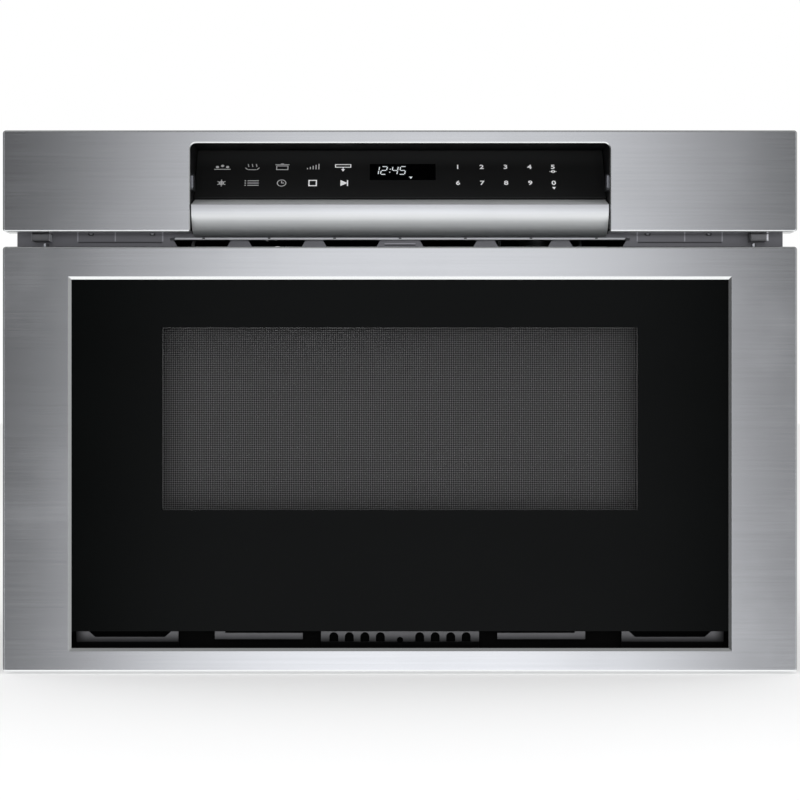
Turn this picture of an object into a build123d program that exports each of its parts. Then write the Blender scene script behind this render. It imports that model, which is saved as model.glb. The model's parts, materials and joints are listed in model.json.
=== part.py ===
from build123d import *
import os
from math import acos, cos, pi, radians, sin, tan

# A built-in microwave drawer: a powered drawer with an open-topped oven tub that slides out of
# a fixed cavity, below a sloped touch console. X runs across the front, Y from the front to the
# rear and Z up. The origin lies on the base plane, under the middle of the appliance.

# ---- General ----
overrun = 1.0                   # joined features and cuts run this far into each other

# ---- Face of the appliance ----
face_width = 758.8
overall_depth = 593.7
cabinet_height = 514.3
console_zone = 106.6            # from the drawer front's upper edge to the cabinet's lid
reveal_height = 14.2            # open gap between the drawer front and the fascia
fascia_height = 96.9
toe_height = 2.0                # lower edge of the face above the base plane
face_corner_radius = 3.0
bend_radius = 2.0
skin = 1.5                      # stainless sheet of the face
front_return = 30.0             # depth of the folded edges of the drawer front
fascia_return = 24.0

# ---- Window of the drawer front ----
window_stile = 62.7             # face left at each side of the opening
window_sill = 19.4              # lower edge of the opening above the drawer front's edge
window_head = 28.6              # face left above the opening
window_bevel = 2.8
bevel_depth = 2.3
hem_width = 9.0
hem_depth = 4.7
front_glass_thickness = 4.0
glass_overlap = 4.0             # glass behind the hem at the sides and the top
intake_height = 15.6            # open strip between the window's lower edge and the glass

# ---- Screen, rear plate and inner pane of the drawer front ----
backplate_thickness = 2.0
backplate_inset = 1.4
screen_thickness = 1.2
view_inset = 0.3                # edge of the view outside the tub's side wall
view_head = 0.5                 # upper edge of the view below the tub's rim
view_sill = 154.7               # lower edge of the view above the base plane
screen_border = 9.0
pane_thickness = 4.0
pane_seat = 6.0

# ---- Vent plate below the glass ----
vent_plate_setback = 14.0
vent_plate_thickness = 1.2
vent_plate_width = 622.0
vent_plate_bottom = 19.0
vent_plate_top = 62.0
vent_fold_height = 29.0         # the plate turns back to the rear below it
comb_gap_top = 52.0
comb_gap_near = 76.0
comb_gap_far = 213.0
comb_tab_near = 93.5
comb_tab_far = 178.0
comb_tab_bottom = 31.3
comb_tab_top = 37.4
comb_neck = 10.0                # the tab hangs from its outer end
arch_pitch = 14.9
arch_width = 8.5
arch_bottom = 29.0
arch_top = 38.0
arch_first = 18.9
arch_count = 4                  # on each side of the small middle hole
small_hole_radius = 3.0
small_hole_height = 30.5
scoop_near = 219.0
scoop_far = 300.0
scoop_bottom = 33.5
scoop_slope = 7.0

# ---- Front frame ----
frame_setback = 36.0
frame_thickness = 2.0
frame_width = 743.6
frame_bottom = 1.0
exhaust_count = 3               # slots on each side of the middle
exhaust_pitch = 72.5
exhaust_first = 47.1
exhaust_top_width = 55.5
exhaust_bottom_width = 42.0
exhaust_height = 11.5
intake_slot_width = 44.0
intake_slot_height = 18.0
intake_slot_bottom = 12.0
pad_height = 1.0
pad_inner = 230.5
pad_seam = 276.5
pad_outer = 313.0
pad_drop = 7.4                  # pads reach this far below the fascia's edge
pad_rise = 12.0
pad_corner = 2.0
tab_half_width = 14.3
tab_height = 3.6
cabinet_hole_radius = 2.6
cabinet_hole_spacing_x = 727.0
cabinet_hole_low = 60.0
cabinet_hole_spacing_z = 320.0

# ---- Console ----
notch_width = 400.8
notch_top_gap = 12.3            # fascia left above the notch
notch_corner_radius = 5.7
notch_bevel = 1.1
liner_wall = 2.0
liner_end_gap = 1.0             # side walls above the nose line
liner_gap = 0.8                 # liner wall outside the notch edge
liner_rise = 3.1                # liner ceiling above the notch's upper edge
liner_depth = 90.0
glass_slope = 52.0
glass_slant = 64.8
console_glass_thickness = 3.2
console_glass_gap = 0.4
glass_foot_setback = 39.0
glass_foot_rise = 2.1           # front corner of the glass above the ledge
nose_radius = 28.0
nose_rise = 26.1                # nose line above the fascia's lower edge
nose_gap = 0.9
nose_sheet = 1.5
ledge_lip = 1.0                 # ledge in front of the foot of the glass
ledge_rise = 8.0                # ledge under the glass above the nose line
ledge_length = 8.0
cheek_width = 6.0
cheek_thickness = 5.0
cheek_start = 6.0               # cheeks begin this far up the glass
side_bracket_height = 15.3
side_bracket_sill = 14.8        # above the nose line
side_bracket_depth = 20.0
side_bracket_setback = 8.0
side_bracket_thickness = 3.0
display_width = 90.0
display_height = 26.0
display_thickness = 9.0
board_width = 330.0
board_height = 54.0
board_thickness = 1.6
connector_count = 4
connector_pitch = 72.0
connector_width = 28.0
connector_height = 9.0
connector_rise = 9.0
relay_width = 22.0
relay_height = 16.0
relay_rise = 14.0
channel_offset = 318.0          # fascia channels from the middle
channel_width = 28.0
channel_height = 60.0
channel_rise = 18.0

# ---- Small pieces in the gap ----
deflector_width = 447.4
deflector_thickness = 2.0
deflector_depth = 10.0
deflector_taper = 6.0
deflector_drop = 3.7            # upper face below the fascia's lower edge
deflector_notch = 2.4
deflector_notch_pitch = 63.3
deflector_notch_count = 7
block_width = 17.2
block_depth = 18.0
block_height = 7.2
block_offset = 346.5
block_gap = 0.3
stud_radius = 2.0
stud_length = 8.0
stud_rise = 3.3                 # centre above the drawer front's upper edge
stud_offset = 343.0
screw_head_width = 7.0          # across the flats
panel_screw_margin = 42.0       # outer panel screws from the top and the bottom
screw_head_height = 3.4
low_head_height = 1.5           # flat heads behind the drawer front
fascia_screw_offsets = (240.1, 299.5)
fascia_screw_rise = 1.9

# ---- Cabinet ----
cabinet_width = 710.0
cabinet_sheet = 1.5
gland_projection = 3.0
pan_flange = 12.0
louvre_count = 7
louvre_pitch = 11.0
louvre_length = 70.0
louvre_width = 4.0
bead_width = 18.0
bead_length = 380.0
bead_height = 1.2
bead_offset = 180.0

# ---- Fixed cavity ----
cavity_width = 480.0
cavity_floor_height = 140.0
cavity_sheet = 1.2
service_height = 162.3          # from the cavity's ceiling to the lid
service_depth = 115.7           # from the cavity's rear wall to the end of the gland
rib_margin = 30.0
rib_corner = 20.0

# ---- Tub ----
tub_inner_width = 460.0
tub_rear_gap = 22.0
tub_head_gap = 20.0             # rim below the cavity's ceiling
tub_floor_gap = 9.0             # tub above the cavity floor
tub_sheet = 1.5
tub_corner_radius = 12.0
rim_width = 4.0
ceramic_thickness = 4.2
ceramic_gap = 0.3

# ---- Choke frame ----
choke_width = 13.0
choke_gap = 5.0                 # choke outside the cavity opening
choke_clearance = 0.4

# ---- Telescopic slides ----
slide_rear_gap = 16.0           # slides end this far before the cavity's rear wall
slide_height = 46.0
slide_sheet = 1.5
slide_depth = 12.0
slide_lip = 4.5
slide_gap = 0.35
slide_centre_height = 105.0
slide_setback = 46.0
arm_thickness = 2.0
arm_spacer = 5.0
arm_length = 76.0
arm_spacer_length = 40.0
arm_height = 30.0
arm_boss_height = 22.0
arm_flange = 34.0

# ---- Rack and pinion ----
gear_module = 2.0
pinion_teeth = 16
pressure_angle = 20.0
backlash = 0.2
rack_addendum = 1.8
dedendum = 2.5
rack_width = 16.0
rack_body_height = 8.0
rack_rear_gap = 6.0             # rack ends this far before the cavity's rear wall
rack_offset = -150.0
rack_top_height = 120.0
rack_opening_gap = 4.0          # room round the rack in the front frame
rack_flange_width = 46.0
rack_flange_height = 24.0
rack_screw_share = 0.65
pinion_setback = 80.0
pinion_width = 14.0
pinion_shaft_radius = 4.0
shaft_fit = 0.05
guide_clearance = 0.3
guide_cheek = 5.5
guide_cheek_drop = 12.0
guide_length = 40.0
motor_bracket_thickness = 2.0
motor_bracket_depth = 70.0
bracket_foot = 36.0
bracket_hole_gap = 2.0
bracket_top_gap = 1.0           # bracket and gearbox below the guide's cheeks
gearbox_length = 26.0
gearbox_depth = 56.0
gearbox_height = 52.0
motor_radius = 18.0
motor_length = 58.0

# ---- Interlock ----
latch_offset = 300.0
latch_height = 240.0
latch_thickness = 3.0
latch_length = 27.0
latch_bar_height = 8.0
latch_hook_drop = 6.0
latch_hook_length = 7.0
latch_slot_clearance = 3.0
switch_housing_width = 24.0
switch_housing_depth = 42.0
switch_housing_height = 78.0
switch_body_height = 16.0
switch_spacing = 20.0            # from the middle of the housing
switch_body_width = 10.0
switch_inset = 7.0

# ---- Stirrer and waveguide ----
stirrer_setback = 250.0
guide_duct_width = 90.0
guide_duct_height = 40.0
guide_duct_left = -46.0
guide_duct_right = 200.0
feed_radius = 32.0
shaft_clearance = 1.5
antenna_clearance = 2.0
stirrer_shaft_radius = 3.0
shaft_end_gap = 1.0
stirrer_hub_radius = 9.0
stirrer_hub_height = 6.0
hub_drop = 2.0                  # hub below the cavity's ceiling
stirrer_blade_radius = 70.0
stirrer_blade_count = 4
stirrer_blade_width = 26.0
stirrer_blade_thickness = 1.5
stirrer_blade_drop = 8.0
stirrer_lip_share = 0.8
stirrer_cover_width = 168.0
stirrer_cover_wall = 1.5
stirrer_cover_corner = 18.0
stirrer_cover_height = 16.5
stirrer_motor_radius = 24.0
stirrer_motor_height = 18.0
ear_length = 9.0
ear_width = 10.0
ear_thickness = 1.2

# ---- Magnetron and high-voltage supply ----
magnetron_offset = 148.0
magnetron_width = 88.0
magnetron_depth = 66.0
magnetron_height = 76.0
magnetron_sheet = 2.5
anode_radius = 20.0
fin_count = 3
fin_thickness = 1.0
antenna_radius = 8.0
antenna_height = 26.0
filter_box_height = 22.0
filter_box_inset = 14.0
transformer_offset = 60.0
transformer_width = 96.0
transformer_depth = 56.0
transformer_height = 82.0
coil_overhang = 14.0
coil_height = 26.0
transformer_plate = 2.0
transformer_foot = 8.0          # plate beyond the core at each side
coil_shares = (0.3, 0.7)        # heights of the coils on the core
rear_space_setback = 12.0       # supply parts behind the cavity's rear wall
capacitor_offset = 190.0
capacitor_width = 92.0
capacitor_depth = 34.0
capacitor_height = 54.0
terminal_width = 6.3
terminal_thickness = 0.8
terminal_height = 9.0

# ---- Cooling fan ----
fan_offset = -200.0
fan_drop = 76.3                 # fan centre below the lid
fan_frame_size = 120.0
fan_frame_depth = 38.0
fan_frame_corner = 5.0
fan_bore_radius = 55.0
fan_tip_radius = 52.5
fan_hub_radius = 20.0
fan_blade_count = 7
fan_blade_depth = 13.0
fan_blade_thickness = 1.6
fan_blade_pitch = 40.0
fan_blade_share = 0.85          # share of the hub's depth that a blade covers
fan_motor_radius = 19.0
fan_motor_length = 18.0
fan_shaft_radius = 3.0
spider_thickness = 3.0
spider_arm_width = 7.0
rotor_gap = 0.5

# ---- Lamp, filter board and cable gland ----
lamp_setback = 330.0
lamp_drop = 52.0                # lamp holder below the cavity's ceiling
lamp_holder_width = 34.0
lamp_holder_depth = 26.0
lamp_bulb_radius = 9.0
lamp_bulb_length = 26.0
filter_offset = -300.0
filter_height = 190.0
filter_width = 80.0
filter_board_height = 90.0
filter_post_length = 8.0
filter_post_radius = 3.0
filter_coil_radius = 15.0
filter_coil_height = 12.0
filter_post_inset = 6.0
suppressor_width = 12.0
suppressor_height = 16.0
suppressor_rise = 8.0
gland_offset = -300.0
gland_height = 70.0
gland_bore_radius = 5.5
gland_body_radius = 10.0
gland_fit = 0.05
gland_flange_radius = 14.0
gland_inner_length = 10.0

# ---- Places worked out from the sizes above ----
front_y = -overall_depth / 2
rear_y = overall_depth / 2
drawer_bottom = toe_height
drawer_top = cabinet_height - console_zone
drawer_front_height = drawer_top - drawer_bottom
fascia_bottom = drawer_top + reveal_height
fascia_top = fascia_bottom + fascia_height
drawer_middle = (drawer_bottom + drawer_top) / 2
fascia_middle = (fascia_bottom + fascia_top) / 2
window_width = face_width - 2 * window_stile
window_bottom = drawer_bottom + window_sill
window_top = drawer_top - window_head
window_height = window_top - window_bottom
window_middle = (window_bottom + window_top) / 2
glass_bottom = window_bottom + window_bevel + intake_height
backplate_front = front_y + front_return
backplate_back = backplate_front + backplate_thickness
frame_front = front_y + frame_setback
frame_back = frame_front + frame_thickness
frame_top = cabinet_height
panel_rear = rear_y - gland_projection
panel_front = panel_rear - cabinet_sheet
cabinet_half = cabinet_width / 2
wall_inner = cabinet_half - cabinet_sheet
lid_bottom = cabinet_height - cabinet_sheet
cavity_half = cavity_width / 2
cavity_top = cabinet_height - service_height
cavity_height = cavity_top - cavity_floor_height
cavity_rear = rear_y - service_depth
duct_bottom = cavity_top + cavity_sheet
duct_top = duct_bottom + guide_duct_height
tub_bottom = cavity_floor_height + tub_floor_gap
tub_top = cavity_top - tub_head_gap
tub_outer_width = tub_inner_width + 2 * tub_sheet
tub_front = backplate_back
tub_rear = cavity_rear - tub_rear_gap
view_width = tub_inner_width + 2 * view_inset
view_height = tub_top - view_head - view_sill
view_middle = view_sill + view_height / 2
ceramic_top = tub_bottom + tub_sheet + ceramic_thickness
notch_half = notch_width / 2
notch_top = fascia_top - notch_top_gap
liner_inner = notch_half + liner_gap
liner_outer = liner_inner + liner_wall
liner_front = front_y + skin
ceiling_bottom = notch_top + liner_rise
ceiling_top = ceiling_bottom + liner_wall
nose_line = fascia_bottom + nose_rise
nose_bottom = nose_line - nose_radius
nose_half = notch_half - nose_gap
ledge_height = nose_line + ledge_rise
slope = radians(glass_slope)
glass_foot = (front_y + glass_foot_setback, ledge_height + glass_foot_rise)
pitch_radius = gear_module * pinion_teeth / 2
tooth_pitch = pi * gear_module
rack_root = rack_top_height - rack_body_height
pitch_height = rack_root - dedendum
pinion_height = pitch_height - pitch_radius
pinion_y = front_y + pinion_setback
slide_front = front_y + slide_setback
slide_length = cavity_rear - slide_rear_gap - slide_front
rack_rear = cavity_rear - rack_rear_gap
stirrer_y = front_y + stirrer_setback
hub_top = cavity_top - hub_drop
lamp_height = cavity_top - lamp_drop
fan_height = cabinet_height - fan_drop
fan_rear = panel_front
motor_front = fan_rear - spider_thickness - fan_motor_length
deflector_top = fascia_bottom - deflector_drop


def slab(x_limits, y_limits, z_limits):
    """A plate or block between two limits on each axis."""
    limits = (x_limits, y_limits, z_limits)
    sizes = [high - low for low, high in limits]
    middle = [(high + low) / 2 for low, high in limits]
    return Pos(*middle) * Box(*sizes)


def facing(y_start):
    """The plane of the front view at a given Y, with local x across and local y up."""
    return Plane(origin=(0, y_start, 0), x_dir=(1, 0, 0), z_dir=(0, -1, 0))


def panel(outline, y_start, thickness):
    """A sketch of the front view, extruded to the rear."""
    return extrude(facing(y_start) * outline, amount=-thickness)


def sheet_up(outline, z_start, thickness):
    """A sketch of the plan, extruded upwards."""
    return extrude(Pos(0, 0, z_start) * outline, amount=thickness)


def side_profile(points, x_limits):
    """A closed outline of points (y, z), extruded across the appliance."""
    outline = make_face(Polyline(*points, close=True))
    return extrude(Plane.YZ.offset(x_limits[0]) * outline, amount=x_limits[1] - x_limits[0])


def both_sides(piece):
    """The piece on the right with its mirror image on the left."""
    return piece + mirror(piece, about=Plane.YZ)


def rectangle_at(x_limits, z_limits):
    """A rectangle of a front view between its limits."""
    width = x_limits[1] - x_limits[0]
    height = z_limits[1] - z_limits[0]
    return Pos(x_limits[0] + width / 2, z_limits[0] + height / 2) * Rectangle(width, height)


def joined(pieces):
    """Several solids as one node."""
    body = pieces[0]
    for piece in pieces[1:]:
        body += piece
    return body


def hex_head(x, z, y_back):
    """Hexagon head that faces the front, seated on a plane at y_back."""
    head = RegularPolygon(screw_head_width / 2, 6, major_radius=False)
    return panel(Pos(x, z) * head, y_back - screw_head_height, screw_head_height)


def rear_head(x, z, y_front):
    """Hexagon head that faces the rear, low enough to clear the frame."""
    head = RegularPolygon(screw_head_width / 2, 6, major_radius=False)
    return panel(Pos(x, z) * head, y_front, low_head_height)


def rod_y(radius, x, z, y_limits):
    """A round bar along Y."""
    return panel(Pos(x, z) * Circle(radius), y_limits[0], y_limits[1] - y_limits[0])


def rod_x(radius, y, z, x_limits):
    """A round bar along X."""
    outline = Plane.YZ.offset(x_limits[0]) * (Pos(y, z) * Circle(radius))
    return extrude(outline, amount=x_limits[1] - x_limits[0])


def rod_z(radius, x, y, z_limits):
    """A round bar along Z."""
    return sheet_up(Pos(x, y) * Circle(radius), z_limits[0], z_limits[1] - z_limits[0])


# ---- Drawer front ----

def drawer_front():
    """Folded stainless shell with a bevelled, hemmed window opening."""
    outline = Pos(0, drawer_middle) * RectangleRounded(
        face_width, drawer_front_height, face_corner_radius)
    shell = panel(outline, front_y, front_return)
    shell = fillet(shell.faces().sort_by(Axis.Y)[0].edges(), bend_radius)
    inside = Rectangle(face_width - 2 * skin, drawer_front_height - 2 * skin)
    shell -= panel(Pos(0, drawer_middle) * inside, front_y + skin, front_return)
    hem = Rectangle(window_width + 2 * hem_width, window_height + 2 * hem_width)
    shell += panel(Pos(0, window_middle) * hem, front_y + skin, hem_depth - skin)
    outer = Pos(0, window_middle) * Rectangle(window_width, window_height)
    inner = Pos(0, window_middle) * Rectangle(
        window_width - 2 * window_bevel, window_height - 2 * window_bevel)
    bevel = loft([facing(front_y) * outer, facing(front_y + bevel_depth) * inner], ruled=True)
    return shell - bevel - panel(inner, front_y, hem_depth)


def front_glass():
    """Black front glass, bonded behind the hem and stopping above the intake strip."""
    half = window_width / 2 - window_bevel + glass_overlap
    outline = rectangle_at((-half, half), (glass_bottom, window_top - window_bevel + glass_overlap))
    return panel(outline, front_y + hem_depth, front_glass_thickness)


def door_backplate():
    """Steel plate that closes the shell and carries the tub, the slides and the rack."""
    inset = 2 * backplate_inset
    outline = Rectangle(face_width - inset, drawer_front_height - inset)
    view = Pos(0, view_middle - drawer_middle) * Rectangle(view_width, view_height)
    plate = panel(Pos(0, drawer_middle) * (outline - view), backplate_front, backplate_thickness)
    return plate


def window_screen():
    """Screen plate seated on the front of the rear plate, with a raised border round the view."""
    outer = Pos(0, view_middle) * Rectangle(
        view_width + 2 * screen_border, view_height + 2 * screen_border)
    view = Pos(0, view_middle) * Rectangle(view_width, view_height)
    plate = panel(outer, backplate_front - screen_thickness, screen_thickness)
    border = panel(outer - view, backplate_front - 2 * screen_thickness, screen_thickness)
    return plate + border


def vent_openings():
    """Openings of the intake plate: gaps round the comb tabs, arch holes and two scoops."""
    openings = Pos(0, small_hole_height) * Circle(small_hole_radius)
    for side in (-1, 1):
        gap = sorted((side * comb_gap_near, side * comb_gap_far))
        tab = sorted((side * comb_tab_near, side * comb_tab_far))
        over = sorted((side * comb_tab_near, side * (comb_tab_far - comb_neck)))
        openings += rectangle_at(gap, (vent_plate_bottom, comb_gap_top))
        openings -= rectangle_at(tab, (comb_tab_bottom, comb_gap_top))
        openings += rectangle_at(over, (comb_tab_top, comb_gap_top))
        near, far = side * scoop_near, side * scoop_far
        scoop = Polyline((near, glass_bottom), (far, glass_bottom),
                         (far - side * scoop_slope, scoop_bottom),
                         (near + side * scoop_slope, scoop_bottom), close=True)
        openings += make_face(scoop)
        for number in range(arch_count):
            place = side * (arch_first + number * arch_pitch)
            straight_top = arch_top - arch_width / 2
            edges = (place - arch_width / 2, place + arch_width / 2)
            openings += rectangle_at(edges, (arch_bottom, straight_top))
            openings += Pos(place, straight_top) * Circle(arch_width / 2)
    return openings


def door_vent_plate():
    """Intake plate under the glass, turned back to the rear above and below."""
    front = front_y + vent_plate_setback
    half = vent_plate_width / 2
    back = front + vent_plate_thickness
    top_inside = vent_plate_top - vent_plate_thickness
    folded = side_profile([
        (backplate_front, vent_plate_top), (front, vent_plate_top), (front, vent_fold_height),
        (backplate_front, vent_plate_bottom),
        (backplate_front, vent_plate_bottom + vent_plate_thickness),
        (back, vent_fold_height + vent_plate_thickness / 2),
        (back, top_inside), (backplate_front, top_inside)], (-half, half))
    return folded - panel(vent_openings(), front, backplate_front - front)


def choke_frame():
    """Moulded cover of the microwave choke, a ring that faces the frame round the cavity."""
    inner_width = cavity_width + 2 * choke_gap
    inner_height = cavity_height + 2 * choke_gap
    middle = (cavity_floor_height + cavity_top) / 2
    ring = RectangleRounded(inner_width + 2 * choke_width, inner_height + 2 * choke_width, choke_width)
    ring -= Rectangle(inner_width, inner_height)
    depth = frame_front - choke_clearance - backplate_back
    body = panel(Pos(0, middle) * ring, backplate_back, depth)
    return chamfer(body.faces().sort_by(Axis.Y)[-1].outer_wire().edges(), depth / 3)


def inner_pane():
    """Glass pane inside the tub, against its front wall."""
    half = tub_inner_width / 2 - ceramic_gap
    front = tub_front + tub_sheet
    top = view_sill + view_height - ceramic_gap
    return slab((-half, half), (front, front + pane_thickness), (ceramic_top + ceramic_gap, top))


# ---- Tub ----

def tub_plan(grow):
    """Plan of the tub, grown outwards on the sides and the rear, with its rear corners rounded."""
    half = tub_inner_width / 2 + grow
    outline = Pos(0, (tub_front + tub_rear - tub_sheet + grow) / 2) * Rectangle(
        2 * half, tub_rear - tub_sheet + grow - tub_front)
    rear_corners = outline.vertices().group_by(Axis.Y)[-1]
    return fillet(rear_corners, tub_corner_radius + grow)


def drawer_tub():
    """Open-topped oven tub with a turned-out rim and a view opening in its front wall."""
    body = sheet_up(tub_plan(tub_sheet), tub_bottom, tub_top - tub_bottom)
    body += sheet_up(tub_plan(tub_sheet + rim_width), tub_top - tub_sheet, tub_sheet)
    half = tub_inner_width / 2
    hollow = sheet_up(tub_plan(0), tub_bottom + tub_sheet, tub_top - tub_bottom)
    hollow -= slab((-half, half), (tub_front, tub_front + tub_sheet), (tub_bottom, tub_top + tub_sheet))
    view_half = view_width / 2 - pane_seat
    view = slab((-view_half, view_half), (tub_front, tub_front + tub_sheet),
                (view_sill + pane_seat, view_sill + view_height - pane_seat))
    return body - hollow - view


def ceramic_floor():
    """Glass-ceramic floor plate that lies in the tub."""
    plan = tub_plan(-ceramic_gap)
    front = tub_front + tub_sheet + ceramic_gap
    half = tub_outer_width / 2
    strip = slab((-half, half), (tub_front - overrun, front), (tub_bottom, ceramic_top + overrun))
    return sheet_up(plan, tub_bottom + tub_sheet, ceramic_thickness) - strip


# ---- Telescopic slides (right side; the left ones are mirrored) ----

def channel(web_outer, height, depth, opening_side, lip):
    """A C section as (x, z) limits: web, two flanges and two lips, centred on the slide height."""
    low = slide_centre_height - height / 2
    high = slide_centre_height + height / 2
    web = sorted((web_outer, web_outer + opening_side * slide_sheet))
    span = sorted((web_outer, web_outer + opening_side * depth))
    section = rectangle_at(web, (low, high))
    section += rectangle_at(span, (low, low + slide_sheet))
    section += rectangle_at(span, (high - slide_sheet, high))
    if lip > 0:
        edge = web_outer + opening_side * depth
        lips = sorted((edge, edge - opening_side * slide_sheet))
        section += rectangle_at(lips, (low, low + slide_sheet + lip))
        section += rectangle_at(lips, (high - slide_sheet - lip, high))
    return section


middle_web = wall_inner - slide_sheet - slide_gap
middle_height = slide_height - 2 * (slide_sheet + slide_gap)
middle_depth = slide_depth - 2 * (slide_sheet + slide_gap)
inner_height = middle_height - 2 * (slide_sheet + slide_gap)
inner_depth = middle_depth - 2 * (slide_sheet + slide_gap)
inner_web = middle_web - slide_sheet - slide_gap - inner_depth


def slide_outer():
    """Fixed member, screwed flat on the cabinet's side."""
    return panel(channel(wall_inner, slide_height, slide_depth, -1, slide_lip), slide_front, slide_length)


def slide_middle():
    """Middle member, held by the lips of the fixed one."""
    return panel(channel(middle_web, middle_height, middle_depth, -1, slide_lip), slide_front, slide_length)


def slide_inner():
    """Drawer member, with its web facing the arm."""
    return panel(channel(inner_web, inner_height, inner_depth, 1, 0), slide_front, slide_length)


def slide_arm():
    """Arm from the rear plate to the drawer member: flange, plate and spacer."""
    arm_inner = inner_web - arm_spacer - arm_thickness
    low = slide_centre_height - arm_height / 2
    high = slide_centre_height + arm_height / 2
    plate = slab((arm_inner, arm_inner + arm_thickness), (backplate_back, backplate_back + arm_length),
                 (low, high))
    flange = slab((arm_inner - arm_flange, arm_inner), (backplate_back, backplate_back + arm_thickness),
                  (low, high))
    spacer_rear = backplate_back + arm_length
    spacer = slab((arm_inner + arm_thickness, inner_web), (spacer_rear - arm_spacer_length, spacer_rear),
                  (slide_centre_height - arm_boss_height / 2, slide_centre_height + arm_boss_height / 2))
    return plate + flange + spacer


# ---- Rack and pinion ----

def drive_rack():
    """Rack under a stiff bar, with a flange on the rear plate. A gap faces the pinion at rest."""
    sides = (rack_offset - rack_width / 2, rack_offset + rack_width / 2)
    flange_front = backplate_back + arm_thickness
    bar = slab(sides, (backplate_back, rack_rear), (rack_root, rack_top_height))
    bar += slab((rack_offset - rack_flange_width / 2, rack_offset + rack_flange_width / 2),
                (backplate_back, flange_front),
                (rack_top_height - rack_flange_height, rack_top_height))
    slant = tan(radians(pressure_angle))
    half_root = tooth_pitch / 4 + dedendum * slant - backlash / 4
    half_tip = tooth_pitch / 4 - rack_addendum * slant - backlash / 4
    tip = pitch_height - rack_addendum
    first = int((flange_front + half_root - pinion_y) / tooth_pitch) + 0.5
    last = int((rack_rear - half_root - pinion_y) / tooth_pitch) - 0.5
    inside = rack_root + overrun
    outline = [(rack_rear, rack_root), (rack_rear, inside), (flange_front, inside),
               (flange_front, rack_root)]
    for number in range(int(last - first) + 1):
        centre = pinion_y + (first + number) * tooth_pitch
        outline += [(centre - half_root, rack_root), (centre - half_tip, tip),
                    (centre + half_tip, tip), (centre + half_root, rack_root)]
    return bar + side_profile(outline, sides)


def involute(angle):
    """The involute function of a pressure angle."""
    return tan(angle) - angle


def pinion_outline():
    """Points of the toothed outline, one tooth pointing straight up."""
    base_radius = pitch_radius * cos(radians(pressure_angle))
    root_radius = pitch_radius - dedendum
    tip_radius = pitch_radius + gear_module
    pitch_half = pi / (2 * pinion_teeth) - backlash / (4 * pitch_radius)
    radii = [base_radius, pitch_radius, tip_radius]
    halves = [pitch_half + involute(radians(pressure_angle)) - involute(acos(base_radius / radius))
              for radius in radii]
    flank = [(root_radius, halves[0])] + list(zip(radii, halves))
    points = []
    for tooth in range(pinion_teeth):
        middle = pi / 2 - tooth * 2 * pi / pinion_teeth
        rising = [(radius, middle + half) for radius, half in flank]
        falling = [(radius, middle - half) for radius, half in reversed(flank)]
        points += [(radius * cos(angle), radius * sin(angle)) for radius, angle in rising + falling]
    return points


def drive_pinion():
    """Spur pinion on the gearbox shaft, meshing with the rack from below."""
    teeth = make_face(Polyline(*pinion_outline(), close=True))
    gear = Pos(pinion_y, pinion_height) * (teeth - Circle(pinion_shaft_radius + shaft_fit))
    left = rack_offset - pinion_width / 2
    return extrude(Plane.YZ.offset(left) * gear, amount=pinion_width)


bracket_left = rack_offset + rack_width / 2 + guide_clearance + guide_cheek
bracket_top = rack_top_height - guide_cheek_drop - bracket_top_gap


def rack_guide():
    """Nylon saddle under the cavity floor that keeps the rack down on the pinion."""
    inner = rack_width / 2 + guide_clearance
    outer = inner + guide_cheek
    y_limits = (pinion_y - guide_length / 2, pinion_y + guide_length / 2)
    saddle = slab((rack_offset - outer, rack_offset + outer), y_limits,
                  (rack_top_height - guide_cheek_drop, cavity_floor_height - cavity_sheet))
    tunnel = slab((rack_offset - inner, rack_offset + inner), y_limits,
                  (rack_top_height - guide_cheek_drop, rack_top_height + guide_clearance))
    return saddle - tunnel


def motor_bracket():
    """Folded bracket that stands on the base pan and carries the gearbox."""
    right = bracket_left + motor_bracket_thickness
    y_limits = (pinion_y - motor_bracket_depth / 2, pinion_y + motor_bracket_depth / 2)
    upright = slab((bracket_left, right), y_limits, (cabinet_sheet, bracket_top))
    foot = slab((right, right + bracket_foot), y_limits,
                (cabinet_sheet, cabinet_sheet + motor_bracket_thickness))
    hole = rod_x(pinion_shaft_radius + bracket_hole_gap, pinion_y, pinion_height, (bracket_left, right))
    return upright + foot - hole


def drive_motor():
    """Gearbox and motor; the output shaft passes through the pinion."""
    left = bracket_left + motor_bracket_thickness
    right = left + gearbox_length
    box = slab((left, right), (pinion_y - gearbox_depth / 2, pinion_y + gearbox_depth / 2),
               (bracket_top - gearbox_height, bracket_top))
    box = chamfer(box.edges().filter_by(Axis.X), gearbox_height / 8)
    can = rod_x(motor_radius, pinion_y, bracket_top - gearbox_height / 2, (right, right + motor_length))
    can = chamfer(can.faces().sort_by(Axis.X)[-1].edges(), motor_radius / 9)
    shaft_end = rack_offset - pinion_width / 2 - gear_module
    shaft = rod_x(pinion_shaft_radius, pinion_y, pinion_height, (shaft_end, left))
    return box + can + shaft


# ---- Interlock ----

def latch_hook():
    """Flat hook on the rear plate that closes the interlock switches."""
    low = latch_height - latch_bar_height / 2
    high = latch_height + latch_bar_height / 2
    tip = backplate_back + latch_length
    notch = tip - latch_hook_length
    points = [(backplate_back, low), (notch, low), (notch, low - latch_hook_drop),
              (tip, low - latch_hook_drop / 2), (tip, high - latch_bar_height / 3),
              (tip - latch_bar_height / 3, high), (backplate_back, high)]
    half = latch_thickness / 2
    return side_profile(points, (latch_offset - half, latch_offset + half))


def latch_slot(y_limits):
    """Room of the hook on its way through the frame and in the switch housing."""
    half = latch_thickness / 2 + latch_slot_clearance
    low = latch_height - latch_bar_height / 2 - latch_hook_drop - latch_slot_clearance
    high = latch_height + latch_bar_height / 2 + latch_slot_clearance
    return slab((latch_offset - half, latch_offset + half), y_limits, (low, high))


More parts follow.
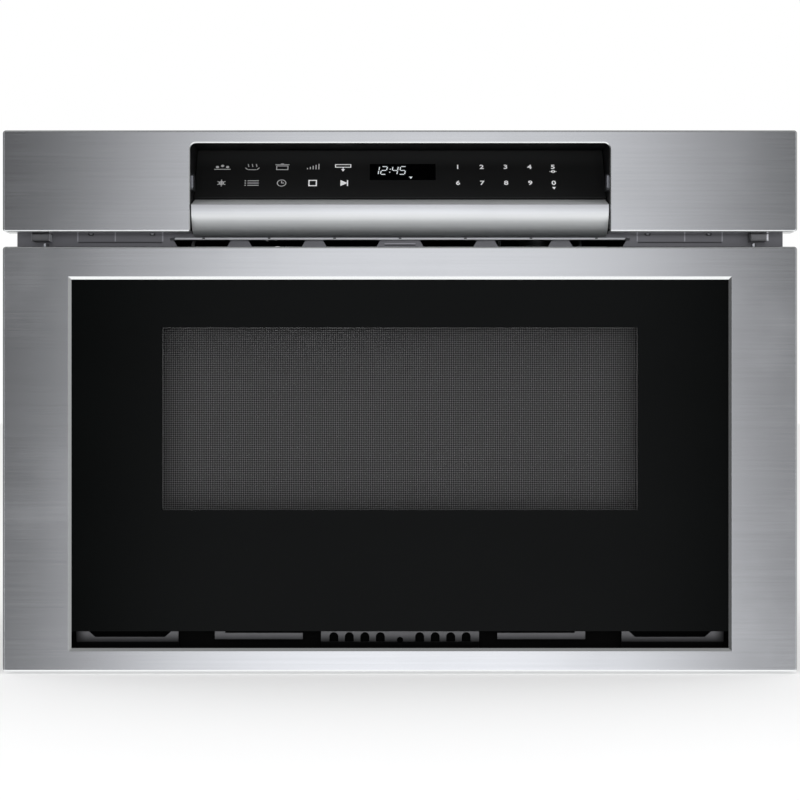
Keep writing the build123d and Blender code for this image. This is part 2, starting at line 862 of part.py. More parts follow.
def switch_housing():
    """Interlock housing behind the frame, with two switches on its outer side."""
    rear = frame_back + switch_housing_depth
    half = switch_housing_width / 2
    housing = slab((latch_offset - half, latch_offset + half), (frame_back, rear),
                   (latch_height - switch_housing_height / 2, latch_height + switch_housing_height / 2))
    housing = chamfer(housing.edges().filter_by(Axis.X), switch_housing_depth / 14)
    pocket_end = backplate_back + latch_length + latch_slot_clearance
    housing -= latch_slot((frame_back, pocket_end))
    for level in (-1, 1):
        low = latch_height + level * switch_spacing - switch_body_height / 2
        housing += slab((latch_offset + half, latch_offset + half + switch_body_width),
                        (frame_back + switch_inset, rear - switch_inset), (low, low + switch_body_height))
    return housing


# ---- Frame and cabinet ----

def front_frame():
    """Recessed steel frame: cavity mouth, slide, rack and latch openings, air slots and pads."""
    half = frame_width / 2
    outline = rectangle_at((-half, half), (frame_bottom, frame_top))
    outline -= rectangle_at((-cavity_half, cavity_half), (cavity_floor_height, cavity_top))
    mouth = liner_outer + liner_gap
    outline -= rectangle_at((-mouth, mouth), (nose_bottom + 2 * nose_sheet, frame_top))
    slot_top = deflector_top - deflector_thickness
    slot_bottom = slot_top - exhaust_height
    slide_low = slide_centre_height - slide_height / 2 - slide_sheet
    slide_high = slide_centre_height + slide_height / 2 + slide_sheet
    arm_inner = inner_web - arm_spacer - 2 * arm_thickness
    for side in (-1, 1):
        outline -= rectangle_at(sorted((side * arm_inner, side * wall_inner)), (slide_low, slide_high))
        for number in range(exhaust_count):
            place = side * (exhaust_first + number * exhaust_pitch)
            slot = Polyline((place - exhaust_top_width / 2, slot_top),
                            (place + exhaust_top_width / 2, slot_top),
                            (place + exhaust_bottom_width / 2, slot_bottom),
                            (place - exhaust_bottom_width / 2, slot_bottom), close=True)
            outline -= make_face(slot)
            outline -= rectangle_at((place - intake_slot_width / 2, place + intake_slot_width / 2),
                                    (intake_slot_bottom, intake_slot_bottom + intake_slot_height))
        for level in (cabinet_hole_low, cabinet_hole_low + cabinet_hole_spacing_z):
            outline -= Pos(side * cabinet_hole_spacing_x / 2, level) * Circle(cabinet_hole_radius)
    rack_half = rack_width / 2 + rack_opening_gap
    outline -= rectangle_at((rack_offset - rack_half, rack_offset + rack_half),
                            (pitch_height - rack_opening_gap, rack_top_height + rack_opening_gap))
    frame = panel(outline, frame_front, frame_thickness)
    pad_bottom = fascia_bottom - pad_drop
    for near, far, rise in ((pad_inner, pad_seam, pad_height), (pad_seam, pad_outer, pad_height / 2)):
        pad = rectangle_at((near, far), (pad_bottom, fascia_bottom + pad_rise))
        pad = chamfer(pad.vertices(), pad_corner)
        frame += both_sides(panel(pad, frame_front - rise, rise))
    tab = rectangle_at((-tab_half_width, tab_half_width), (slot_top - tab_height, slot_top))
    frame += panel(tab, frame_front - pad_height, pad_height)
    slots = latch_slot((frame_front, frame_back))
    return frame - both_sides(slots)


def base_pan():
    """Base tray with turned-up side flanges and cooling slots under the drive."""
    pan = slab((-cabinet_half, cabinet_half), (frame_back, panel_rear), (0, cabinet_sheet))
    flange = slab((wall_inner - cabinet_sheet, wall_inner), (frame_back, panel_front),
                  (cabinet_sheet, cabinet_sheet + pan_flange))
    pan += both_sides(flange)
    for number in range(louvre_count):
        y_start = pinion_y + motor_bracket_depth + number * louvre_pitch
        slot = slab((-louvre_length, louvre_length), (y_start, y_start + louvre_width), (0, cabinet_sheet))
        pan -= slot
    return pan


def side_panel():
    """Cabinet side with a group of louvre slots near the top rear."""
    side = slab((wall_inner, cabinet_half), (frame_back, panel_front), (cabinet_sheet, lid_bottom))
    y_rear = panel_front - 2 * louvre_pitch
    for number in range(louvre_count):
        low = fan_height - louvre_count * louvre_pitch / 2 + number * louvre_pitch
        side -= slab((wall_inner, cabinet_half), (y_rear - louvre_length, y_rear), (low, low + louvre_width))
    return side


def rear_panel():
    """Cabinet rear with the fan's grille and the hole of the cable gland."""
    outline = rectangle_at((-cabinet_half, cabinet_half), (cabinet_sheet, lid_bottom))
    rows = int((fan_tip_radius - louvre_width) / louvre_pitch)
    for row in range(-rows, rows + 1):
        level = row * louvre_pitch
        half = (fan_tip_radius ** 2 - level ** 2) ** 0.5
        edges = (fan_height + level - louvre_width / 2, fan_height + level + louvre_width / 2)
        for near, far in ((-half, -spider_arm_width / 2), (spider_arm_width / 2, half)):
            outline -= rectangle_at((fan_offset + near, fan_offset + far), edges)
    outline -= Pos(gland_offset, gland_height) * Circle(gland_body_radius + gland_fit)
    return panel(outline, panel_front, cabinet_sheet)


def top_panel():
    """Cabinet lid with two pressed beads that stiffen it."""
    lid = slab((-cabinet_half, cabinet_half), (frame_back, panel_rear), (lid_bottom, cabinet_height))
    bead = SlotOverall(bead_length, bead_width)
    for side in (-1, 1):
        place = Pos(side * bead_offset, (frame_back + panel_rear) / 2) * Rot(0, 0, 90) * bead
        lid += sheet_up(place, cabinet_height, bead_height)
    return lid


def panel_screws():
    """Hexagon screws that hold the rear panel at its corners and middle."""
    x_place = cabinet_half - 2 * screw_head_width
    levels = (panel_screw_margin, cabinet_height / 2, cabinet_height - panel_screw_margin)
    head = RegularPolygon(screw_head_width / 2, 6, major_radius=False)
    heads = [panel(Pos(side * x_place, level) * head, panel_rear, gland_projection)
             for side in (-1, 1) for level in levels]
    return joined(heads)


# ---- Fixed cavity ----

def cavity_plate(x_limits, z_limits):
    """One wall of the cavity, from the frame to the rear."""
    return slab(x_limits, (frame_back, cavity_rear), z_limits)


def cavity_floor():
    """Floor of the cavity."""
    outer = cavity_half + cavity_sheet
    return cavity_plate((-outer, outer), (cavity_floor_height - cavity_sheet, cavity_floor_height))


def cavity_ceiling():
    """Ceiling of the cavity with the round microwave feed."""
    outer = cavity_half + cavity_sheet
    plate = cavity_plate((-outer, outer), (cavity_top, duct_bottom))
    return plate - rod_z(feed_radius, 0, stirrer_y, (cavity_top, duct_bottom))


def cavity_side():
    """Side of the cavity."""
    return cavity_plate((cavity_half, cavity_half + cavity_sheet), (cavity_floor_height, cavity_top))


def cavity_back():
    """Rear of the cavity with a flat pressed rib."""
    outer = cavity_half + cavity_sheet
    plate = slab((-outer, outer), (cavity_rear, cavity_rear + cavity_sheet),
                 (cavity_floor_height - cavity_sheet, duct_bottom))
    rib = Pos(0, (cavity_floor_height + cavity_top) / 2) * RectangleRounded(
        cavity_width - 2 * rib_margin, cavity_height - 2 * rib_margin, rib_corner)
    return plate + panel(rib, cavity_rear + cavity_sheet, cavity_sheet)


# ---- Microwave feed ----

def waveguide():
    """Folded duct on the ceiling, open over the feed and closed round the antenna."""
    y_limits = (stirrer_y - guide_duct_width / 2, stirrer_y + guide_duct_width / 2)
    duct = slab((guide_duct_left, guide_duct_right), y_limits, (duct_bottom, duct_top))
    duct -= slab((guide_duct_left + cavity_sheet, guide_duct_right - cavity_sheet),
                 (y_limits[0] + cavity_sheet, y_limits[1] - cavity_sheet),
                 (duct_bottom, duct_top - cavity_sheet))
    duct -= rod_z(stirrer_shaft_radius + shaft_clearance, 0, stirrer_y, (duct_bottom, duct_top))
    return duct - rod_z(antenna_radius + antenna_clearance, magnetron_offset, stirrer_y,
                        (duct_bottom, duct_top))


def magnetron():
    """Magnetron: open yoke, anode with cooling fins, antenna and filter box."""
    low = duct_top
    high = low + magnetron_height
    half = magnetron_width / 2
    x_limits = (magnetron_offset - half, magnetron_offset + half)
    y_limits = (stirrer_y - magnetron_depth / 2, stirrer_y + magnetron_depth / 2)
    yoke = slab(x_limits, y_limits, (low, high))
    yoke -= slab((x_limits[0] + magnetron_sheet, x_limits[1] - magnetron_sheet), y_limits,
                 (low + magnetron_sheet, high - magnetron_sheet))
    body = yoke + rod_z(anode_radius, magnetron_offset, stirrer_y, (low, high))
    fin_pitch = magnetron_height / (fin_count + 1)
    for number in range(1, fin_count + 1):
        level = low + number * fin_pitch
        body += slab((x_limits[0] + magnetron_sheet, x_limits[1] - magnetron_sheet),
                     (y_limits[0] + magnetron_sheet, y_limits[1] - magnetron_sheet),
                     (level - fin_thickness / 2, level + fin_thickness / 2))
    antenna = rod_z(antenna_radius, magnetron_offset, stirrer_y, (low - antenna_height, low))
    box_half = half - filter_box_inset
    box = slab((magnetron_offset - box_half, magnetron_offset + box_half), y_limits,
               (high, high + filter_box_height))
    return body + antenna + box


def stirrer_motor():
    """Round synchronous motor on the duct, with a socket for the stirrer's shaft."""
    body = rod_z(stirrer_motor_radius, 0, stirrer_y, (duct_top, duct_top + stirrer_motor_height))
    ears = Rectangle(2 * stirrer_motor_radius + 2 * ear_length, ear_width)
    body += sheet_up(Pos(0, stirrer_y) * ears, duct_top, ear_thickness)
    socket = rod_z(stirrer_shaft_radius + shaft_fit, 0, stirrer_y,
                   (duct_top, duct_top + stirrer_motor_height / 2))
    return body - socket


def stirrer_blade():
    """Mode stirrer: shaft, hub and four blades, each turned down along one edge."""
    shaft_top = duct_top + stirrer_motor_height / 2 - shaft_end_gap
    hub_bottom = hub_top - stirrer_hub_height
    blade_top = hub_top - stirrer_hub_height / 2
    body = rod_z(stirrer_shaft_radius, 0, 0, (hub_bottom, shaft_top))
    body += rod_z(stirrer_hub_radius, 0, 0, (hub_bottom, hub_top))
    blade = slab((0, stirrer_blade_radius), (-stirrer_blade_width / 2, stirrer_blade_width / 2),
                 (blade_top - stirrer_blade_thickness, blade_top))
    corners = blade.edges().filter_by(Axis.Z).group_by(Axis.X)[-1]
    blade = chamfer(corners, stirrer_blade_width / 5)
    edge = -stirrer_blade_width / 2
    lip = slab((2 * stirrer_hub_radius, stirrer_blade_radius * stirrer_lip_share), (edge, edge + stirrer_blade_thickness),
               (blade_top - stirrer_blade_drop, blade_top))
    for number in range(stirrer_blade_count):
        body += Rot(0, 0, number * 360 / stirrer_blade_count) * (blade + lip)
    return Pos(0, stirrer_y, 0) * body


def stirrer_cover():
    """Shallow moulded cover under the stirrer, seated on the ceiling."""
    low = cavity_top - stirrer_cover_height
    plan = Pos(0, stirrer_y) * RectangleRounded(
        stirrer_cover_width, stirrer_cover_width, stirrer_cover_corner)
    inside_width = stirrer_cover_width - 2 * stirrer_cover_wall
    inside = Pos(0, stirrer_y) * RectangleRounded(
        inside_width, inside_width, stirrer_cover_corner - stirrer_cover_wall)
    tray = sheet_up(plan, low, stirrer_cover_height)
    return tray - sheet_up(inside, low + stirrer_cover_wall, stirrer_cover_height)


# ---- High-voltage supply, filter board and gland ----

def hv_transformer():
    """Laminated core on a base plate with two coils that stand out front and rear."""
    front = cavity_rear + cavity_sheet + rear_space_setback
    middle_y = front + transformer_depth / 2
    half = transformer_width / 2
    plate_top = cabinet_sheet + transformer_plate
    x_limits = (transformer_offset - half, transformer_offset + half)
    plate = slab((x_limits[0] - transformer_foot, x_limits[1] + transformer_foot),
                 (front, front + transformer_depth), (cabinet_sheet, plate_top))
    core = slab(x_limits, (front, front + transformer_depth), (plate_top, plate_top + transformer_height))
    coil_half = half - transformer_width / 6
    body = plate + core
    for share in coil_shares:
        level = plate_top + transformer_height * share
        coil = Pos(transformer_offset, middle_y, level) * Box(
            2 * coil_half, transformer_depth + coil_overhang, coil_height)
        coil = chamfer(coil.edges().filter_by(Axis.Z), coil_overhang / 3)
        body += coil
    return body


def hv_capacitor():
    """Oval oil-filled capacitor with two flat terminals."""
    front = cavity_rear + cavity_sheet + rear_space_setback
    plan = Pos(capacitor_offset, front + capacitor_depth / 2) * SlotOverall(capacitor_width, capacitor_depth)
    top = cabinet_sheet + capacitor_height
    body = sheet_up(plan, cabinet_sheet, capacitor_height)
    blade = Rectangle(terminal_thickness, terminal_width)
    for side in (-1, 1):
        place = Pos(capacitor_offset + side * capacitor_width / 4, front + capacitor_depth / 2)
        body += sheet_up(place * blade, top, terminal_height)
    return body


def noise_filter():
    """Line filter board on four hexagonal posts, with a ring coil and two capacitors."""
    board_back = panel_front - filter_post_length
    board_front = board_back - board_thickness
    half = filter_width / 2
    low = filter_height - filter_board_height / 2
    high = filter_height + filter_board_height / 2
    body = panel(rectangle_at((filter_offset - half, filter_offset + half), (low, high)),
                 board_front, board_thickness)
    post = RegularPolygon(filter_post_radius, 6)
    for x_side in (-1, 1):
        for z_side in (-1, 1):
            place = Pos(filter_offset + x_side * (half - filter_post_inset),
                        filter_height + z_side * (filter_board_height / 2 - filter_post_inset))
            body += panel(place * post, board_back, filter_post_length)
    coil = Circle(filter_coil_radius) - Circle(filter_coil_radius / 2)
    body += panel(Pos(filter_offset, filter_height + filter_coil_radius) * coil,
                  board_front - filter_coil_height, filter_coil_height)
    half = suppressor_width / 2
    for side in (-1, 1):
        place = filter_offset + side * filter_coil_radius
        body += slab((place - half, place + half), (board_front - filter_coil_height, board_front),
                     (low + suppressor_rise, low + suppressor_rise + suppressor_height))
    return body


def cable_gland():
    """Gland in the rear panel: hexagon head outside, round body and hexagon nut inside."""
    y_nut = panel_front - gland_inner_length / 2
    y_end = panel_front - gland_inner_length
    place = Pos(gland_offset, gland_height)
    hexagon = place * RegularPolygon(gland_flange_radius, 6)
    body = panel(hexagon, panel_rear, gland_projection)
    body += panel(place * Circle(gland_body_radius), y_end, panel_rear - y_end)
    body += panel(hexagon, y_nut, panel_front - y_nut)
    return body - panel(place * Circle(gland_bore_radius), y_end, rear_y - y_end)


# ---- Cooling fan and lamp ----

def fan_housing():
    """Square moulded frame with a round bore and a four-armed spider at the rear."""
    front = fan_rear - fan_frame_depth
    place = Pos(fan_offset, fan_height)
    outline = Rectangle(fan_frame_size, fan_frame_size)
    outline = chamfer(outline.vertices(), fan_frame_corner)
    frame = place * (outline - Circle(fan_bore_radius))
    body = panel(frame, front, fan_frame_depth)
    spider = Circle(fan_motor_radius)
    for angle in (0, 90):
        spider += Rot(0, 0, angle) * Rectangle(2 * (fan_bore_radius + overrun), spider_arm_width)
    return body + panel(place * spider, fan_rear - spider_thickness, spider_thickness)


def fan_motor():
    """Fan motor on the spider, with its shaft through the rotor's hub."""
    body = rod_y(fan_motor_radius, fan_offset, fan_height, (motor_front, fan_rear - spider_thickness))
    shaft_front = motor_front - rotor_gap - fan_blade_depth - shaft_end_gap
    shaft = rod_y(fan_shaft_radius, fan_offset, fan_height, (shaft_front, motor_front))
    return body + shaft


def fan_rotor():
    """Fan rotor: bored hub and seven pitched blades."""
    hub = Circle(fan_hub_radius) - Circle(fan_shaft_radius + shaft_fit)
    body = extrude(hub, amount=fan_blade_depth)
    chord = fan_blade_depth * fan_blade_share / sin(radians(fan_blade_pitch))
    tip = (fan_tip_radius ** 2 - (chord / 2) ** 2) ** 0.5
    root = fan_hub_radius - overrun
    blade = Pos((root + tip) / 2, 0, fan_blade_depth / 2) * Rot(fan_blade_pitch, 0, 0) * Box(
        tip - root, chord, fan_blade_thickness)
    for number in range(fan_blade_count):
        body += Rot(0, 0, number * 360 / fan_blade_count) * blade
    return Pos(fan_offset, motor_front - rotor_gap, fan_height) * Rot(90, 0, 0) * body


def cavity_lamp():
    """Lamp holder on the cavity's left side, with its small bulb standing upwards."""
    wall = -cavity_half - cavity_sheet
    y_middle = front_y + lamp_setback
    half = lamp_holder_width / 2
    holder = slab((wall - lamp_holder_depth, wall), (y_middle - half, y_middle + half),
                  (lamp_height - half, lamp_height))
    bulb = Circle(lamp_bulb_radius)
    place = Pos(wall - lamp_holder_depth / 2, y_middle)
    glass = sheet_up(place * bulb, lamp_height, lamp_bulb_length)
    return holder + glass


# ---- Fascia and console ----

def control_fascia():
    """Folded stainless fascia with a notch for the console and two mounting channels."""
    outline = Pos(0, fascia_middle) * RectangleRounded(face_width, fascia_height, face_corner_radius)
    shell = panel(outline, front_y, fascia_return)
    shell = fillet(shell.faces().sort_by(Axis.Y)[0].edges(), bend_radius)
    inside = Rectangle(face_width - 2 * skin, fascia_height - 2 * skin)
    shell -= panel(Pos(0, fascia_middle) * inside, front_y + skin, fascia_return)
    notch = rectangle_at((-notch_half, notch_half), (fascia_bottom - skin, notch_top))
    notch = fillet(notch.vertices().group_by(Axis.Y)[-1], notch_corner_radius)
    shell -= panel(notch, front_y, fascia_return)
    front_face = shell.faces().sort_by(Axis.Y)[0]
    rim = [edge for edge in front_face.edges()
           if abs(edge.center().X) < notch_half + overrun
           and fascia_bottom + bend_radius + overrun < edge.center().Z < notch_top + overrun]
    shell = chamfer(rim, notch_bevel)
    low = fascia_bottom + channel_rise
    near = channel_offset - channel_width / 2
    mount = slab((near, near + channel_width), (front_y + skin, frame_front), (low, low + channel_height))
    mount -= slab((near + skin, near + channel_width - skin), (front_y + skin, frame_front - skin),
                  (low, low + channel_height))
    return shell + both_sides(mount)


def console_liner():
    """Black moulded liner: ceiling, side walls and the cheeks that the glass is bonded to."""
    rear = liner_front + liner_depth
    body = slab((-liner_outer, liner_outer), (liner_front, rear), (ceiling_bottom, ceiling_top))
    wall_low = nose_line + liner_end_gap
    body += both_sides(slab((liner_inner, liner_outer), (liner_front, rear), (wall_low, ceiling_top)))
    back_y = glass_foot[0] + console_glass_thickness * sin(slope) + cheek_start * cos(slope)
    back_z = glass_foot[1] - console_glass_thickness * cos(slope) + cheek_start * sin(slope)
    run = glass_slant - 2 * cheek_start
    points = [(back_y, back_z), (back_y + run * cos(slope), back_z + run * sin(slope)),
              (back_y + run * cos(slope) + cheek_thickness * sin(slope),
               back_z + run * sin(slope) - cheek_thickness * cos(slope)),
              (back_y + cheek_thickness * sin(slope), back_z - cheek_thickness * cos(slope))]
    cheek = side_profile(points, (liner_inner - cheek_width, liner_inner))
    return body + both_sides(cheek)


def touch_glass():
    """Sloped touch glass."""
    foot_y, foot_z = glass_foot
    top = (foot_y + glass_slant * cos(slope), foot_z + glass_slant * sin(slope))
    back = (console_glass_thickness * sin(slope), -console_glass_thickness * cos(slope))
    points = [glass_foot, top, (top[0] + back[0], top[1] + back[1]),
              (foot_y + back[0], foot_z + back[1])]
    half = liner_inner - console_glass_gap
    return side_profile(points, (-half, half))


def behind_glass(offset):
    """Plane parallel to the touch glass, a given distance behind its rear face."""
    shift = console_glass_thickness + offset
    y_middle = glass_foot[0] + glass_slant / 2 * cos(slope) + shift * sin(slope)
    z_middle = glass_foot[1] + glass_slant / 2 * sin(slope) - shift * cos(slope)
    return Plane(origin=(0, y_middle, z_middle), x_dir=(1, 0, 0), z_dir=(0, sin(slope), -cos(slope)))


def display_module():
    """Display block between the glass and the board."""
    return extrude(behind_glass(0) * Rectangle(display_width, display_height),
                   amount=display_thickness)


def control_board():
    """Control board with a row of connectors and a relay on its rear."""
    board = behind_glass(display_thickness) * Rectangle(board_width, board_height)
    body = extrude(board, amount=board_thickness)
    rear = behind_glass(display_thickness + board_thickness)
    for number in range(connector_count):
        place = (number - (connector_count - 1) / 2) * connector_pitch
        connector = Pos(place, board_height / 4) * Rectangle(connector_width, connector_height)
        body += extrude(rear * connector, amount=connector_rise)
    relay = Pos(-connector_pitch, -board_height / 5) * Rectangle(relay_width, relay_height)
    return body + extrude(rear * relay, amount=relay_rise)


def bullnose_trim():
    """Quarter-round nose with a sloped top that carries the glass, closed at both ends."""
    centre_y = front_y + nose_radius
    ledge_front = glass_foot[0] - ledge_lip
    ledge_rear = ledge_front + ledge_length
    inner_radius = nose_radius - nose_sheet
    inner_reach = (inner_radius ** 2 - nose_sheet ** 2) ** 0.5
    diagonal = sin(radians(45))
    outer_arc = ThreePointArc(
        (front_y, nose_line),
        (centre_y - nose_radius * diagonal, nose_line - nose_radius * diagonal),
        (centre_y, nose_bottom))
    inner_arc = ThreePointArc(
        (centre_y, nose_bottom + nose_sheet),
        (centre_y - inner_radius * diagonal, nose_line - inner_radius * diagonal),
        (centre_y - inner_reach, nose_line - nose_sheet))
    top = Polyline((ledge_rear, ledge_height), (ledge_front, ledge_height), (front_y, nose_line))
    foot = Polyline((centre_y, nose_bottom), (frame_front, nose_bottom),
                    (frame_front, nose_bottom + nose_sheet), (centre_y, nose_bottom + nose_sheet))
    under = Polyline((centre_y - inner_reach, nose_line - nose_sheet),
                     (ledge_front, ledge_height - nose_sheet),
                     (ledge_rear, ledge_height - nose_sheet), (ledge_rear, ledge_height))
    section = make_face([*top.edges(), outer_arc, *foot.edges(), inner_arc, *under.edges()])
    body = extrude(Plane.YZ.offset(-nose_half) * section, amount=2 * nose_half)
    rear = Polyline((centre_y, nose_bottom), (frame_front, nose_bottom),
                    (frame_front, ledge_height - nose_sheet), (ledge_rear, ledge_height - nose_sheet),
                    (ledge_rear, ledge_height))
    end = make_face([*top.edges(), outer_arc, *rear.edges()])
    caps = extrude(Plane.YZ.offset(nose_half - nose_sheet) * end, amount=nose_sheet)
    return body + both_sides(caps)


def console_bracket():
    """Small steel plate at the front of the liner's side wall."""
    low = nose_line + side_bracket_sill
    front = front_y + side_bracket_setback
    plate = slab((liner_inner - side_bracket_thickness, liner_inner),
                 (front, front + side_bracket_depth), (low, low + side_bracket_height))
    return chamfer(plate.edges().filter_by(Axis.X), side_bracket_height / 8)


# ---- Small pieces in the gap ----

def air_deflector():
    """Thin strip over the exhaust slots, with tapered ends and small notches."""
    half = deflector_width / 2
    front = frame_front - deflector_depth
    plan = make_face(Polyline((-half, frame_front), (half, frame_front),
                              (half - deflector_taper, front), (deflector_taper - half, front),
                              close=True))
    reach = (deflector_notch_count - 1) / 2
    for number in range(deflector_notch_count):
        place = (number - reach) * deflector_notch_pitch
        plan -= Pos(place, front) * Rectangle(deflector_notch, deflector_notch)
    return sheet_up(plan, deflector_top - deflector_thickness, deflector_thickness)


def fascia_screws():
    """Hexagon heads on the pads of the frame, half behind the fascia's lower edge."""
    level = fascia_bottom + fascia_screw_rise
    near, far = fascia_screw_offsets
    inner_head = hex_head(near, level, frame_front - pad_height)
    outer_head = hex_head(far, level, frame_front - pad_height / 2)
    return both_sides(inner_head + outer_head)


def guide_block():
    """Plastic block on the frame that centres the drawer front."""
    top = fascia_bottom - block_gap
    block = slab((block_offset - block_width / 2, block_offset + block_width / 2),
                 (frame_front - block_depth, frame_front), (top - block_height, top))
    return chamfer(block.faces().sort_by(Axis.Y)[0].edges(), block_height / 6)


def guide_stud():
    """Round stud under the block."""
    return rod_y(stud_radius, stud_offset, drawer_top + stud_rise, (frame_front - stud_length, frame_front))


def door_screws():
    """Hexagon heads that hold the slide arms, the rack and the tub on the rear plate."""
    arm_place = inner_web - arm_spacer - arm_thickness - arm_flange / 2
    level = arm_height / 3
    heads = []
    for side in (-1, 1):
        for offset in (-level, level):
            heads.append(rear_head(side * arm_place, slide_centre_height + offset,
                                   backplate_back + arm_thickness))
        heads.append(rear_head(rack_offset + side * (rack_width + screw_head_width) * rack_screw_share,
                               rack_top_height - rack_flange_height / 2, backplate_back + arm_thickness))
    return joined(heads)


# ---- Export ----

nodes = {
    "base_pan": base_pan(),
    "side_panel_left": mirror(side_panel(), about=Plane.YZ),
    "side_panel_right": side_panel(),
    "rear_panel": rear_panel(),
    "top_panel": top_panel(),
    "panel_screws": panel_screws(),
    "front_frame": front_frame(),
    "control_fascia": control_fascia(),
    "console_liner": console_liner(),
    "touch_glass": touch_glass(),
    "display_module": display_module(),
    "control_board": control_board(),
    "bullnose_trim": bullnose_trim(),
    "console_brackets": both_sides(console_bracket()),
    "air_deflector": air_deflector(),
    "fascia_screws": fascia_screws(),
    "guide_blocks": both_sides(guide_block()),
    "guide_studs": both_sides(guide_stud()),
    "cavity_floor": cavity_floor(),
    "cavity_ceiling": cavity_ceiling(),
    "cavity_side_left": mirror(cavity_side(), about=Plane.YZ),
    "cavity_side_right": cavity_side(),
    "cavity_back": cavity_back(),
    "waveguide": waveguide(),
    "magnetron": magnetron(),
    "stirrer_motor": stirrer_motor(),
    "stirrer_blade": stirrer_blade(),
    "stirrer_cover": stirrer_cover(),
    "hv_transformer": hv_transformer(),
    "hv_capacitor": hv_capacitor(),
    "noise_filter": noise_filter(),
    "cable_gland": cable_gland(),
    "fan_housing": fan_housing(),
    "fan_motor": fan_motor(),
    "fan_rotor": fan_rotor(),
    "cavity_lamp": cavity_lamp(),
    "slide_outer_left": mirror(slide_outer(), about=Plane.YZ),
    "slide_outer_right": slide_outer(),
    "slide_middle_left": mirror(slide_middle(), about=Plane.YZ),
    "slide_middle_right": slide_middle(),
    "slide_inner_left": mirror(slide_inner(), about=Plane.YZ),
    "slide_inner_right": slide_inner(),
    "slide_arms": both_sides(slide_arm()),
    "drive_rack": drive_rack(),
    "drive_pinion": drive_pinion(),
    "rack_guide": rack_guide(),
    "motor_bracket": motor_bracket(),
    "drive_motor": drive_motor(),
    "latch_hooks": both_sides(latch_hook()),
    "interlock_switches": both_sides(switch_housing()),
    "drawer_front": drawer_front(),
    "front_glass": front_glass(),
    "window_screen": window_screen(),
    "inner_glass": inner_pane(),
    "door_vent_plate": door_vent_plate(),
    "door_backplate": door_backplate(),
    "choke_frame": choke_frame(),
    "drawer_tub": drawer_tub(),
    "ceramic_floor": ceramic_floor(),
    "door_screws": door_screws(),
}

os.makedirs("parts", exist_ok=True)
for name, solid in nodes.items():
    export_step(solid, f"parts/{name}.step")
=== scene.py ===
import json
from math import pi, radians, sin

import bpy
from bpy.props import FloatProperty, FloatVectorProperty, PointerProperty
from bpy.types import Operator, Panel, PropertyGroup
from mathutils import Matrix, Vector

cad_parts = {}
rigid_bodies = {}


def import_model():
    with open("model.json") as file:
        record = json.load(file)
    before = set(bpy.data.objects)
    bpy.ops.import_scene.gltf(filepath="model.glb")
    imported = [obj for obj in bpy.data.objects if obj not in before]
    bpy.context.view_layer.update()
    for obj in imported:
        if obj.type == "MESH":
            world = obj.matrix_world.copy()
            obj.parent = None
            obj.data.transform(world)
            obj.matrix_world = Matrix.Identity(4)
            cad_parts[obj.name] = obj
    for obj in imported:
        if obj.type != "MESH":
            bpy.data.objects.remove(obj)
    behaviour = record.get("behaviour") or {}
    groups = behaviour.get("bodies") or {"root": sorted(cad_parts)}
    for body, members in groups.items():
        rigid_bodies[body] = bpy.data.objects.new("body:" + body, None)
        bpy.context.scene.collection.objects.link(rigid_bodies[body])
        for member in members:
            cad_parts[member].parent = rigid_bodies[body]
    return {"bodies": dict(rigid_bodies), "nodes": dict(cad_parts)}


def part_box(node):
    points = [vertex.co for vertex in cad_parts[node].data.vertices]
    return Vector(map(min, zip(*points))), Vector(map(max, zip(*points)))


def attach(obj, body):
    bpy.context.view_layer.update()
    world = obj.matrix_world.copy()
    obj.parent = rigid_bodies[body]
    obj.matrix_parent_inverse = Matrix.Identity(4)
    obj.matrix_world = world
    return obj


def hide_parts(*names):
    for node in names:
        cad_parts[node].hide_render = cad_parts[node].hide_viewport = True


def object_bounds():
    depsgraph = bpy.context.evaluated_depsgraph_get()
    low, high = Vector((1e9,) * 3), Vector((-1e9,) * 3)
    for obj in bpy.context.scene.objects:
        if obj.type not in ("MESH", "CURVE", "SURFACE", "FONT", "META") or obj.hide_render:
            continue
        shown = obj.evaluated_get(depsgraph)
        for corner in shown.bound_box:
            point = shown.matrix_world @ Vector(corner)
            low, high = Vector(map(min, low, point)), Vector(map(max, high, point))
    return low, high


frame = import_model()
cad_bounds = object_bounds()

bl_info = {
    "name": "Microwave drawer looks",
    "version": (1, 0, 0),
    "blender": (4, 5, 0),
    "location": "3D View > Sidebar > Drawer",
    "description": "Surfaces, printed marks and studio of a built-in microwave drawer",
    "category": "Object",
}


# ---------------------------------------------------------------------------
# Sizes and colours
# ---------------------------------------------------------------------------

def length(name, description, default):
    return FloatProperty(name=name, description=description, default=default, unit="LENGTH")


def lengths(name, description, default):
    return FloatVectorProperty(name=name, description=description, default=default,
                               size=len(default), unit="LENGTH")


def tilt(name, description, degrees):
    return FloatProperty(name=name, description=description, default=radians(degrees), subtype="ANGLE")


def colour(name, description, default):
    return FloatVectorProperty(name=name, description=description, default=default,
                               size=3, min=0.0, max=1.0, subtype="COLOR")


